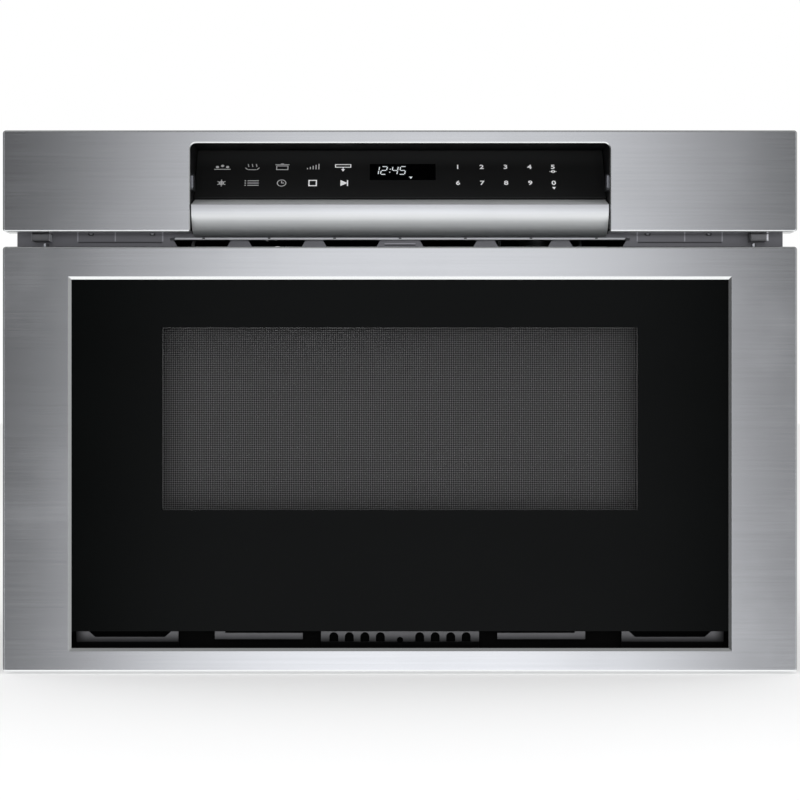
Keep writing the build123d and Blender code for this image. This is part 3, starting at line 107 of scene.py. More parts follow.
class DrawerSizes(PropertyGroup):
    """Lengths and tilts of the pieces and marks that are shaped here, in metres and radians."""

    # Edges
    sheet_edge: length("Sheet edge", "Softening of folded and cut sheet edges", 0.0003)
    pressed_edge: length("Pressed edge", "Softening of the edges of the front frame", 0.0005)
    casting_edge: length("Moulded edge", "Softening of moulded edges", 0.0006)
    glass_edge: length("Glass edge", "Softening of the ground edges of the panes", 0.0008)

    # Window and screen
    view_width: length("View width", "Width of the see-through area of the glass", 0.4556)
    view_height: length("View height", "Height of the see-through area", 0.1748)
    view_sill: length("View sill", "Lower edge of the see-through area", 0.1559)
    line_width: length("Border line", "Width of the printed line round the view", 0.0009)
    line_depth: length("Border line, depth", "Line behind the front of the glass", 0.0045)
    screen_pitch: length("Screen pitch", "Distance between holes of the screen", 0.00212)
    screen_hole: length("Screen hole", "Radius of a hole of the screen", 0.00096)
    # Painted shade on the vent plate: black at the foot and at both ends, fading out between these heights
    # and half widths.
    shading_foot: length("Shading, foot", "Height of the full shading on the vent plate", 0.0275)
    shading_head: length("Shading, head", "Height where the shading ends", 0.0415)
    shading_side: length("Shading, side", "Half width where the shading at the ends is full", 0.312)
    shading_inner: length("Shading, inner side", "Half width where that shading ends", 0.300)

    # Gap between the drawer front and the fascia
    pad_edges: lengths("Pad edges", "Upright edges of the pads, from the middle", (0.2305, 0.2765, 0.3130))
    pad_drop: length("Pad drop", "Reach of the pads below the fascia", 0.0074)
    tab_drop: length("Tab drop", "Reach of the middle tab below the deflector", 0.0036)
    tab_reach: length("Tab reach", "Half width of the middle tab", 0.0143)
    notch_pitch: length("Notch pitch", "Distance between notches of the deflector", 0.0633)
    block_width: length("Block width", "Width of a guide block", 0.0172)
    screw_places: lengths("Screw places", "Fascia screws, from the middle", (0.2401, 0.2995))
    nose_line: length("Nose line", "Upper edge of the curve of the nose", 0.4483)
    nose_dull: length("Nose, dull from", "Height where the nose starts to turn dull", 0.441)
    nose_fade: length("Nose, fade", "Height over which the nose turns dull", 0.012)

    # Touch glass and its print
    foot_y: length("Console foot, Y", "Lower front edge of the touch glass", -0.25785)
    foot_z: length("Console foot, Z", "Lower front edge of the touch glass", 0.4581)
    console_slope: tilt("Console slope", "Tilt of the touch glass", 52.0)
    # Painted light: the touch glass is brightened towards its upper edge, where the liner's shadow falls.
    brightening_start: length("Brightening, start", "Lower edge of the haze on the touch glass", 0.488)
    brightening_end: length("Brightening, end", "Height of the full haze on the touch glass", 0.505)
    print_height: length("Print height", "Thickness of the printed marks", 0.00006)
    stroke: length("Stroke", "Line width of the printed marks", 0.0008)
    key_rows: lengths("Key rows", "Height of the key rows up the glass", (0.0413, 0.0196))
    function_columns: lengths("Function columns", "Places of the function keys",
                              (-0.1748, -0.1453, -0.1159, -0.0855, -0.0560))
    digit_columns: lengths("Digit columns", "Places of the number keys",
                           (0.0568, 0.0804, 0.1039, 0.1275, 0.1505))
    digit_height: length("Digit height", "Height of the key numbers", 0.0054)

    # Display
    display_width: length("Display width", "Width of the display window", 0.0648)
    display_height: length("Display height", "Height of the display window", 0.0219)
    display_x: length("Display, X", "Middle of the display window", 0.0026)
    display_up: length("Display, up the glass", "Middle of the display window", 0.0346)
    clock_height: length("Clock height", "Height of the lit figures", 0.0106)
    clock_left: length("Clock, left", "Left edge of the lit figures", -0.0268)
    clock_foot: length("Clock, foot", "Foot of the lit figures up the glass", 0.0314)
    clock_lean: tilt("Clock, lean", "Lean of the lit figures to the right", 8.0)
    arrow_x: length("Display arrow, X", "Small arrow beside the lit figures", 0.0106)
    arrow_up: length("Display arrow, up", "Small arrow beside the lit figures", 0.0272)

    # Fan rotor
    rotor_hub: length("Rotor hub", "Radius of the hub of the fan rotor", 0.0200)
    rotor_bore: length("Rotor bore", "Radius of the bore of the hub", 0.00306)
    rotor_tip: length("Rotor tip", "Reach of the middle of a blade", 0.0478)
    hub_edge: length("Hub edge", "Softening of the edges of the hub", 0.0008)
    blade_root: length("Blade root", "Depth of a blade inside the hub", 0.0006)
    blade_chord: length("Blade chord", "Mean width of a blade", 0.0325)
    blade_thickness: length("Blade thickness", "Mean thickness of a blade", 0.0014)
    blade_pitch: tilt("Blade pitch", "Mean tilt of a blade", 22.0)
    blade_twist: tilt("Blade twist", "Change of the tilt from hub to tip", -20.0)
    blade_taper: FloatProperty(name="Blade taper", description="Growth of the width towards the tip",
                               default=0.62)


class DrawerColours(PropertyGroup):
    """Colours of the surfaces."""

    face_steel: colour("Face steel", "Brushed stainless face", (0.614, 0.627, 0.630))
    zinc_sheet: colour("Zinc sheet", "Galvanised housing", (0.55, 0.56, 0.57))
    frame_steel: colour("Frame steel", "Pressed front frame", (0.22, 0.22, 0.23))
    slide_steel: colour("Slide steel", "Bright plated slides", (0.66, 0.67, 0.69))
    cavity_steel: colour("Cavity steel", "Smooth stainless cavity", (0.60, 0.60, 0.60))
    bracket_steel: colour("Bracket steel", "Plain steel brackets", (0.30, 0.31, 0.33))
    screw_steel: colour("Screw steel", "Plated screws", (0.50, 0.51, 0.52))
    black_glass: colour("Black glass", "Black-backed glass", (0.0022, 0.0026, 0.0025))
    touch_black: colour("Touch glass", "Black-backed glass of the console", (0.0170, 0.0174, 0.0174))
    line_grey: colour("Border line", "Printed line round the view", (0.11, 0.11, 0.11))
    screen_black: colour("Screen", "Enamel of the perforated screen", (0.118, 0.118, 0.118))
    vent_grey: colour("Vent plate", "Coating of the vent plate", (0.26, 0.26, 0.27))
    inner_black: colour("Inner plates", "Coating of the plates behind the glass", (0.006, 0.006, 0.006))
    shell_grey: colour("Cavity shell", "Oxidised outside of the cavity", (0.12, 0.12, 0.12))
    liner_black: colour("Liner", "Moulded recess liner", (0.014, 0.014, 0.015))
    block_grey: colour("Guide blocks", "Grey moulded blocks", (0.22, 0.22, 0.23))
    nylon_white: colour("Nylon", "Natural nylon gears", (0.80, 0.79, 0.74))
    board_green: colour("Board", "Circuit board", (0.03, 0.18, 0.09))
    ceramic: colour("Ceramic", "Oven floor plate", (0.82, 0.80, 0.74))
    cover_white: colour("Cover", "Heat-resistant moulding", (0.78, 0.77, 0.72))
    magnetron_steel: colour("Magnetron", "Plated yoke and fins", (0.45, 0.46, 0.48))
    core_steel: colour("Core", "Varnished laminations", (0.09, 0.09, 0.10))
    can_metal: colour("Can", "Drawn aluminium can", (0.70, 0.71, 0.72))
    motor_metal: colour("Motor case", "Pressed motor case", (0.32, 0.33, 0.34))
    fan_black: colour("Fan", "Moulded fan", (0.03, 0.03, 0.03))
    stirrer_alloy: colour("Stirrer", "Pressed aluminium", (0.75, 0.76, 0.77))
    print_grey: colour("Print", "Printed signs on the glass", (0.66, 0.66, 0.66))
    print_white: colour("Numbers", "Printed numbers on the glass", (0.80, 0.80, 0.80))
    clock_white: colour("Clock", "Lit figures of the display", (0.80, 0.84, 0.86))
    display_black: colour("Display", "Display window", (0.002, 0.002, 0.0022))


class StudioSizes(PropertyGroup):
    """Places of camera, card, lamps and floor, in metres, and the levels of the lights."""

    eye_distance: length("Camera distance", "From the face to the camera", 2.0)
    eye_height: length("Camera height", "Height of the camera's axis", 0.2612)
    focal: FloatProperty(name="Focal length", description="Of the camera, in millimetres",
                         default=94.3, unit="CAMERA")
    card_distance: length("Card distance", "From the face to the card", 3.2)
    card_size: lengths("Card size", "Width and height of the card", (9.0, 4.6))
    card_middle: length("Card middle", "Height of the middle of the card", 0.5)
    floor_size: length("Floor size", "Side of the floor", 30.0)
    floor_shift: length("Floor shift", "Middle of the floor behind the part", 6.0)
    floor_gap: length("Floor gap", "Floor below the part", 0.0005)
    drop_top: length("Drop, top", "Height on the face where the drop is nought", 0.39)
    lamp_size: length("Lamp size", "Side of a lamp", 1.6)
    aim_height: length("Aim", "Height that the lamps point at", 0.25)
    corner_lamp: lengths("Corner lamps", "Place of the right lamp; the left one mirrors it",
                         (1.8, -1.6, 2.4))
    front_lamp: lengths("Front lamp", "Place of the lamp in front", (0.0, -3.4, 0.5))
    corner_power: FloatProperty(name="Corner lamps, power", description="In watts, for each",
                                default=14.0, unit="POWER")
    front_power: FloatProperty(name="Front lamp, power", description="In watts",
                               default=16.0, unit="POWER")
    matt_level: FloatProperty(name="Surround, matt", description="Grey that matt surfaces see",
                              default=0.80)
    mirror_level: FloatProperty(name="Surround, mirrors", description="Grey in the middle for mirrors",
                                default=0.80)


# ---------------------------------------------------------------------------
# Shader trees
# ---------------------------------------------------------------------------

class Value:
    """One output socket. Arithmetic on it adds Math nodes."""

    def __init__(self, graph, socket):
        self.graph = graph
        self.socket = socket

    def maths(self, operation, *values):
        return self.graph.node("ShaderNodeMath", {"operation": operation}, values)

    def __add__(self, other):
        return self.maths("ADD", self, other)

    def __radd__(self, other):
        return self.maths("ADD", other, self)

    def __sub__(self, other):
        return self.maths("SUBTRACT", self, other)

    def __rsub__(self, other):
        return self.maths("SUBTRACT", other, self)

    def __mul__(self, other):
        return self.maths("MULTIPLY", self, other)

    def __rmul__(self, other):
        return self.maths("MULTIPLY", other, self)

    def __truediv__(self, other):
        return self.maths("DIVIDE", self, other)

    def __pow__(self, other):
        return self.maths("POWER", self, other)

    def __rpow__(self, other):
        return self.maths("POWER", other, self)

    def __abs__(self):
        return self.maths("ABSOLUTE", self)

    def __lt__(self, other):
        return self.maths("LESS_THAN", self, other)

    def __gt__(self, other):
        return self.maths("GREATER_THAN", self, other)

    def from_middle(self):
        """Distance from the middle of the cell, for a coordinate counted in cells."""
        return self.maths("FRACT", self) - 0.5

    def least(self, other):
        return self.maths("MINIMUM", self, other)

    def most(self, other):
        return self.maths("MAXIMUM", self, other)


class Graph:
    """The node tree of one material, or of the world."""

    def __init__(self, name, world=None):
        self.material = world or bpy.data.materials.new(name)
        self.material.use_nodes = True
        self.tree = self.material.node_tree
        self.tree.nodes.clear()

    def node(self, kind, settings=None, values=(), output=0):
        """Adds a node: its settings first, then its socket values and links."""
        made = self.tree.nodes.new(kind)
        for key, value in (settings or {}).items():
            setattr(made, key, value)
        pairs = values.items() if isinstance(values, dict) else enumerate(values)
        for key, value in pairs:
            if isinstance(value, Value):
                self.tree.links.new(value.socket, made.inputs[key])
            else:
                made.inputs[key].default_value = value
        return Value(self, made.outputs[output] if made.outputs else None)

    def place(self):
        """The place on the piece, which every pattern follows."""
        return self.node("ShaderNodeTexCoord", output=3)

    def axes(self):
        """The X, Y and Z of the place on the piece, in metres."""
        split = self.node("ShaderNodeSeparateXYZ", values=(self.place(),))
        return [Value(self, split.socket.node.outputs[i]) for i in range(3)]

    def stretched(self, scale):
        """The place counted in grains of a pattern, along each axis."""
        return self.node("ShaderNodeVectorMath", {"operation": "MULTIPLY"}, (self.place(), scale))

    def noise(self, scale, detail=3.0, roughness=0.55):
        """Noise between 0 and 1, with its own number of grains a metre on each axis."""
        return self.node("ShaderNodeTexNoise", values={
            "Vector": self.stretched(scale), "Scale": 1.0, "Detail": detail, "Roughness": roughness})

    def cells(self, scale, output=0, feature="F1"):
        """Distance from the middle of the nearest cell, or another output of the cells."""
        return self.node("ShaderNodeTexVoronoi", {"feature": feature}, {
            "Vector": self.stretched(scale), "Scale": 1.0}, output)

    def grey(self, of_colour):
        return self.node("ShaderNodeRGBToBW", values=(of_colour,))

    def eased(self, value, low, high):
        """A smooth step from 0 to 1 while the value goes from low to high."""
        return self.node("ShaderNodeMapRange", {"interpolation_type": "SMOOTHSTEP"},
                         (value, low, high))

    def mixed(self, factor, first, second):
        """A colour between two others."""
        return self.node("ShaderNodeMix", {"data_type": "RGBA"},
                         {0: factor, 6: first, 7: second}, output=2)

    def scaled(self, of_colour, factor):
        """A colour made brighter or darker by a factor."""
        return self.node("ShaderNodeVectorMath", {"operation": "SCALE"}, {0: of_colour, 3: factor})

    def bumped(self, height, strength, distance):
        """The direction of a surface that is dented and raised by a height."""
        return self.node("ShaderNodeBump", values={
            "Strength": strength, "Distance": distance, "Height": height})

    def surface(self, **sockets):
        """The shader of a surface, from sockets written with _ for a space."""
        values = {key.replace("_", " "): value for key, value in sockets.items()}
        return self.node("ShaderNodeBsdfPrincipled", values=values)

    def finished(self, shader):
        """The material, once its shader is linked."""
        self.node("ShaderNodeOutputMaterial", values=(shader,))
        return self.material


def shade_of(base, factor):
    """A colour with alpha, brighter or darker than the base by a factor."""
    return (*(min(1.0, channel * factor) for channel in base), 1.0)


def brushed(name, base, along, roughness, depth, dulled=None, marks=None):
    """Metal with fine lines along one axis and faint smudges.

    The marks give a factor that paints light and shade onto the metal in some places, and dulled gives
    what the metal loses of its metallic look and what it gains in roughness."""
    graph = Graph(name)
    fine = [2600.0, 2600.0, 2600.0]
    fine[along] = 9.0
    coarse = [420.0, 420.0, 420.0]
    coarse[along] = 3.0
    lines = graph.noise(fine, detail=4.0, roughness=0.7)
    bands = graph.noise(coarse, detail=3.0)
    smudges = graph.noise((7.0, 7.0, 9.0), detail=4.0)
    tone = lines * 0.6 + bands * 0.4
    base_colour = graph.mixed(tone, shade_of(base, 0.86), shade_of(base, 1.12))
    if marks:
        base_colour = graph.scaled(base_colour, marks(graph))
    rough = roughness + (lines - 0.5) * 0.10 + graph.eased(smudges, 0.45, 0.75) * 0.05
    metal = 1.0
    if dulled:
        loss, gain = dulled(graph)
        metal = metal - loss
        rough = rough + gain
    return graph.finished(graph.surface(
        Base_Color=base_colour, Metallic=metal, Roughness=rough,
        Normal=graph.bumped(lines * 0.7 + bands * 0.3, depth, 0.0002)))


def spangled(name, base, cell, roughness, shaded_before=None):
    """Zinc-coated or cast sheet: crystal patches that differ in tone and shine.

    The side in front of the given Y, if any, is painted nearly black as painted shade."""
    graph = Graph(name)
    patches = graph.grey(graph.cells((cell, cell, cell), output=1))
    feathers = graph.noise((cell * 6, cell * 9, cell * 6), detail=4.0)
    dust_and_shade = graph.eased(graph.noise((5.0, 5.0, 6.0), detail=5.0), 0.5, 0.85)
    tone = patches * 0.65 + feathers * 0.35
    base_colour = graph.mixed(tone, shade_of(base, 0.74), shade_of(base, 1.2))
    dusty_and_shaded = graph.mixed(dust_and_shade * 0.25, base_colour, (0.42, 0.41, 0.39, 1.0))
    if shaded_before:
        dusty_and_shaded = graph.mixed(graph.axes()[1] < shaded_before, dusty_and_shaded, shade_of(base, 0.03))
    return graph.finished(graph.surface(
        Base_Color=dusty_and_shaded, Metallic=0.9, Roughness=roughness + patches * 0.14 + dust_and_shade * 0.12,
        Normal=graph.bumped(feathers, 0.12, 0.0003)))


def moulded(name, base, grain, roughness, depth=0.25, shine=0.5, marks=None):
    """Moulded plastic: leather-like grain, flow marks and a light dusting, with painted light and shade
    from the marks.
    """
    graph = Graph(name)
    pores = graph.cells((grain, grain, grain))
    flow = graph.noise((22.0, 14.0, 40.0), detail=5.0)
    dust_and_shade = graph.eased(graph.noise((60.0, 60.0, 60.0), detail=6.0, roughness=0.7), 0.58, 0.8)
    base_colour = graph.mixed(flow, shade_of(base, 0.78), shade_of(base, 1.22))
    dusty_and_shaded = graph.mixed(dust_and_shade * 0.05, base_colour, (0.5, 0.49, 0.47, 1.0))
    if marks:
        dusty_and_shaded = graph.scaled(dusty_and_shaded, marks(graph))
    return graph.finished(graph.surface(
        Base_Color=dusty_and_shaded, Roughness=roughness + (flow - 0.5) * 0.16, Specular_IOR_Level=shine,
        Normal=graph.bumped(pores + flow * 0.3, depth, 0.00025)))


def painted(name, base, roughness, shine=0.5, lit=0.0):
    """Coated sheet: orange peel, soft blotches and specks of wear; lit adds a glow from within, which is
    painted light.
    """
    graph = Graph(name)
    peel = graph.noise((900.0, 900.0, 900.0), detail=3.0)
    blotches = graph.noise((11.0, 11.0, 16.0), detail=5.0)
    specks = graph.eased(graph.cells((240.0, 240.0, 240.0)), 0.06, 0.02)
    base_colour = graph.mixed(blotches, shade_of(base, 0.75), shade_of(base, 1.28))
    wear_and_highlight = graph.mixed(specks * 0.35, base_colour, shade_of(base, 2.4))
    return graph.finished(graph.surface(
        Base_Color=wear_and_highlight, Specular_IOR_Level=shine,
        Emission_Color=wear_and_highlight, Emission_Strength=lit, Roughness=roughness + (blotches - 0.5) * 0.2,
        Normal=graph.bumped(peel, 0.2, 0.0002)))


def layered(name, base, axis, pitch, roughness):
    """A stack of thin sheets: dark joints at an even pitch across one axis."""
    graph = Graph(name)
    across = graph.axes()[axis] / pitch
    joint = graph.eased(abs(across.from_middle()), 0.34, 0.48)
    rust = graph.noise((90.0, 90.0, 90.0), detail=6.0)
    base_colour = graph.mixed(rust, shade_of(base, 0.7), shade_of(base, 1.5))
    jointed = graph.mixed(joint * 0.75, base_colour, shade_of(base, 0.25))
    return graph.finished(graph.surface(
        Base_Color=jointed, Metallic=0.6, Roughness=roughness + rust * 0.2,
        Normal=graph.bumped(1.0 - joint, 0.6, 0.0004)))


# ---------------------------------------------------------------------------
# Objects
# ---------------------------------------------------------------------------

def sizes():
    return bpy.context.scene.drawer_sizes


def colours():
    return bpy.context.scene.drawer_colours


def studio():
    return bpy.context.scene.drawer_studio


def only(obj):
    """Selects one object and makes it active."""
    bpy.ops.object.select_all(action="DESELECT")
    obj.select_set(True)
    bpy.context.view_layer.objects.active = obj


def smooth(obj, angle=30.0):
    """Shades the curves smoothly and keeps the flat faces flat."""
    only(obj)
    bpy.ops.object.shade_smooth_by_angle(angle=radians(angle))
    weighted = obj.modifiers.new("flats", "WEIGHTED_NORMAL")
    weighted.keep_sharp = True
    bpy.ops.object.modifier_apply(modifier=weighted.name)
    return obj


def softened(obj, width, segments=2):
    """Rounds the sharp edges and shades the piece smoothly."""
    only(obj)
    bevel = obj.modifiers.new("edges", "BEVEL")
    bevel.width = width
    bevel.segments = segments
    bevel.limit_method = "ANGLE"
    bevel.angle_limit = radians(32)
    bpy.ops.object.modifier_apply(modifier=bevel.name)
    return smooth(obj)


def body_of(node):
    """The body that a frame node rides on."""
    for body, empty in frame["bodies"].items():
        if frame["nodes"][node].parent == empty:
            return body
    raise RuntimeError(f"no body holds {node}")


def coated(obj, material):
    """Gives a whole object one material."""
    obj.data.materials.clear()
    obj.data.materials.append(material)


def taken_up(node, material, width=0.0, segments=2):
    """A cleaned copy of a frame node, with soft edges, shown in its place."""
    source = frame["nodes"][node]
    copy = source.copy()
    copy.data = source.data.copy()
    copy.name = node + "_finished"
    copy.parent = None
    bpy.context.scene.collection.objects.link(copy)
    for key in [key for key in copy.keys() if key.startswith("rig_")]:
        del copy[key]
    only(copy)
    bpy.ops.mesh.customdata_custom_splitnormals_clear()
    bpy.ops.object.mode_set(mode="EDIT")
    bpy.ops.mesh.select_all(action="SELECT")
    bpy.ops.mesh.remove_doubles(threshold=0.00001)
    bpy.ops.mesh.dissolve_limited(angle_limit=radians(0.5))
    bpy.ops.object.mode_set(mode="OBJECT")
    if width:
        softened(copy, width, segments)
    else:
        smooth(copy)
    coated(copy, material)
    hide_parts(node)
    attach(copy, body_of(node))


def dressed(material, *nodes):
    """Gives frame nodes a finish on their own meshes."""
    for node in nodes:
        for place in frame["nodes"][node].material_slots:
            place.link = "OBJECT"
            place.material = material


def settled(obj, material, body):
    """Bakes the place of a new piece into its mesh and hangs it on a body."""
    only(obj)
    bpy.ops.object.transform_apply(location=True, rotation=True, scale=True)
    coated(obj, material)
    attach(obj, body)


def joined(parts, name):
    """Makes one object of several."""
    bpy.ops.object.select_all(action="DESELECT")
    for part in parts:
        part.select_set(True)
    bpy.context.view_layer.objects.active = parts[0]
    bpy.ops.object.join()
    whole = bpy.context.view_layer.objects.active
    whole.name = name
    return whole


def bar(x, up, width, height, turn=0.0):
    """A printed bar on the panel's own plane, X across and Y up the glass."""
    thick = sizes().print_height
    bpy.ops.mesh.primitive_cube_add(size=1, location=(x, up, thick / 2),
                                    rotation=(0, 0, turn), scale=(width, height, thick))
    return bpy.context.active_object


def blob(x, up, radius, corners, turn=0.0):
    """A printed dot, or a triangle when it has three corners."""
    thick = sizes().print_height
    bpy.ops.mesh.primitive_cylinder_add(vertices=corners, radius=radius, depth=thick,
                                        location=(x, up, thick / 2), rotation=(0, 0, turn))
    return bpy.context.active_object


def ring(x, up, radius):
    """A printed ring."""
    thick = sizes().print_height
    bpy.ops.mesh.primitive_torus_add(location=(x, up, thick / 2), major_radius=radius,
                                     minor_radius=sizes().stroke / 2,
                                     major_segments=28, minor_segments=6)
    made = bpy.context.active_object
    made.scale.z = thick / sizes().stroke
    return made


def figure(text, x, up, height):
    """A printed number, centred on a place."""
    bpy.ops.object.text_add(location=(0, 0, 0))
    made = bpy.context.active_object
    made.data.body = text
    made.data.align_x = "CENTER"
    made.data.align_y = "CENTER"
    made.data.size = height / 0.70
    made.data.extrude = sizes().print_height / 2
    made.data.offset = 0.00018
    made.data.resolution_u = 4
    bpy.ops.object.convert(target="MESH")
    made = bpy.context.active_object
    made.location = (x, up, sizes().print_height / 2)
    made.scale = (1.12, 1.0, 1.0)
    return made


def on_console(parts, name, material):
    """Joins flat marks and lays them on the sloped touch glass."""
    whole = joined(parts, name)
    only(whole)
    bpy.ops.object.transform_apply(location=True, rotation=True, scale=True)
    whole.rotation_euler = (sizes().console_slope, 0, 0)
    whole.location = (0, sizes().foot_y, sizes().foot_z)
    settled(whole, material, "cabinet")


# ---------------------------------------------------------------------------
# Operators
# ---------------------------------------------------------------------------

class DRAWER_OT_face(Operator):
    """Brushed stainless shells of the drawer front, the fascia and the nose"""

    bl_idname = "drawer.face"
    bl_label = "Stainless face"

    def execute(self, context):
        steel = brushed("face_steel_look", colours().face_steel, 0, 0.20, 0.06)
        for node in ("drawer_front", "control_fascia"):
            taken_up(node, steel, sizes().sheet_edge)
        nose = brushed("nose_look", colours().face_steel, 0, 0.30, 0.06, dulled=self.ledge_and_foot)
        taken_up("bullnose_trim", nose, sizes().sheet_edge)
        return {"FINISHED"}

    def ledge_and_foot(self, graph):
        """Blasted ledge above the curve of the nose, and a matt foot under it."""
        size = sizes()
        height = graph.axes()[2]
        ledge = height > size.nose_line
        foot = graph.eased(height, size.nose_dull, size.nose_dull - size.nose_fade)
        return ledge * 0.6, ledge * 0.4 + foot * 0.45


class DRAWER_OT_front_glass(Operator):
    """Black-backed front glass with a see-through area and a printed line round it"""

    bl_idname = "drawer.front_glass"
    bl_label = "Front glass"

    def execute(self, context):
        taken_up("front_glass", self.glass(), sizes().glass_edge, 3)
        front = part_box("front_glass")[0].y
        width, height, line = sizes().view_width, sizes().view_height, sizes().line_width
        middle = sizes().view_sill + height / 2
        parts = []
        for x, z, wide, tall in ((0, middle + height / 2, width + line, line),
                                 (0, middle - height / 2, width + line, line),
                                 (width / 2, middle, line, height),
                                 (-width / 2, middle, line, height)):
            bpy.ops.mesh.primitive_cube_add(size=1, location=(x, front + sizes().line_depth, z),
                                            scale=(wide, sizes().print_height, tall))
            parts.append(context.active_object)
        border = joined(parts, "front_glass_line")
        settled(border, painted("line_look", colours().line_grey, 0.5), "drawer")
        return {"FINISHED"}

    def glass(self):
        """Black print with faint wiping marks; clear over the screen."""
        graph = Graph("front_glass_look")
        x, _, z = graph.axes()
        middle = sizes().view_sill + sizes().view_height / 2
        across = abs(x) - sizes().view_width / 2
        upright = abs(z - middle) - sizes().view_height / 2
        printed = graph.eased(across.most(upright), -0.0002, 0.0002)
        wipes = graph.noise((6.0, 6.0, 14.0), detail=5.0)
        specks = graph.eased(graph.cells((130.0, 130.0, 130.0)), 0.05, 0.02)
        base = graph.mixed(wipes, shade_of(colours().black_glass, 0.8),
                           shade_of(colours().black_glass, 1.25))
        pane = graph.surface(Base_Color=base, Roughness=0.04 + wipes * 0.03 + specks * 0.2,
                             Specular_IOR_Level=0.055, Alpha=0.06 + printed * 0.94)
        return graph.finished(pane)


class DRAWER_OT_screen(Operator):
    """Perforated screen behind the front glass"""

    bl_idname = "drawer.screen"
    bl_label = "Perforated screen"

    def execute(self, context):
        graph = Graph("screen_look")
        x, _, z = graph.axes()
        pitch = sizes().screen_pitch
        across = (x / pitch).from_middle() * pitch
        upright = (z / pitch).from_middle() * pitch
        distance = (across ** 2 + upright ** 2) ** 0.5
        web = graph.eased(distance, sizes().screen_hole - 0.0001, sizes().screen_hole + 0.0001)
        stains = graph.noise((12.0, 12.0, 16.0), detail=4.0)
        enamelled = graph.mixed(stains, shade_of(colours().screen_black, 0.85),
                                shade_of(colours().screen_black, 1.15))
        # The holes are near-black dots on the solid sheet: painted shade for the dark seen through them.
        base = graph.mixed(web, (0.0015, 0.0015, 0.0015, 1.0), enamelled)
        enamel = graph.surface(Base_Color=base, Roughness=0.40 + stains * 0.15,
                               Normal=graph.bumped(web, 0.3, 0.0003))
        dressed(graph.finished(enamel), "window_screen")
        return {"FINISHED"}


class DRAWER_OT_vent_plate(Operator):
    """Vent plate below the front glass"""

    bl_idname = "drawer.vent_plate"
    bl_label = "Vent plate"

    def execute(self, context):
        taken_up("door_vent_plate", self.coating(), sizes().sheet_edge)
        dressed(painted("backplate_look", colours().inner_black, 0.7, shine=0.03), "door_backplate")
        return {"FINISHED"}

    def coating(self):
        """Grey coating with orange peel, and painted shade that turns it black at the foot and at both
        ends.
        """
        graph = Graph("vent_plate_look")
        size = sizes()
        x, _, z = graph.axes()
        peel = graph.noise((900.0, 900.0, 900.0), detail=3.0)
        blotches = graph.noise((40.0, 40.0, 60.0), detail=5.0)
        unshaded = (graph.eased(z, size.shading_foot, size.shading_head)
                 * graph.eased(abs(x), size.shading_side, size.shading_inner))
        grey = graph.mixed(blotches, shade_of(colours().vent_grey, 0.85),
                           shade_of(colours().vent_grey, 1.15))
        base = graph.mixed(unshaded, shade_of(colours().vent_grey, 0.04), grey)
        return graph.finished(graph.surface(
            Base_Color=base, Roughness=0.55 + blotches * 0.1, Specular_IOR_Level=0.2,
            Normal=graph.bumped(peel, 0.2, 0.0002)))


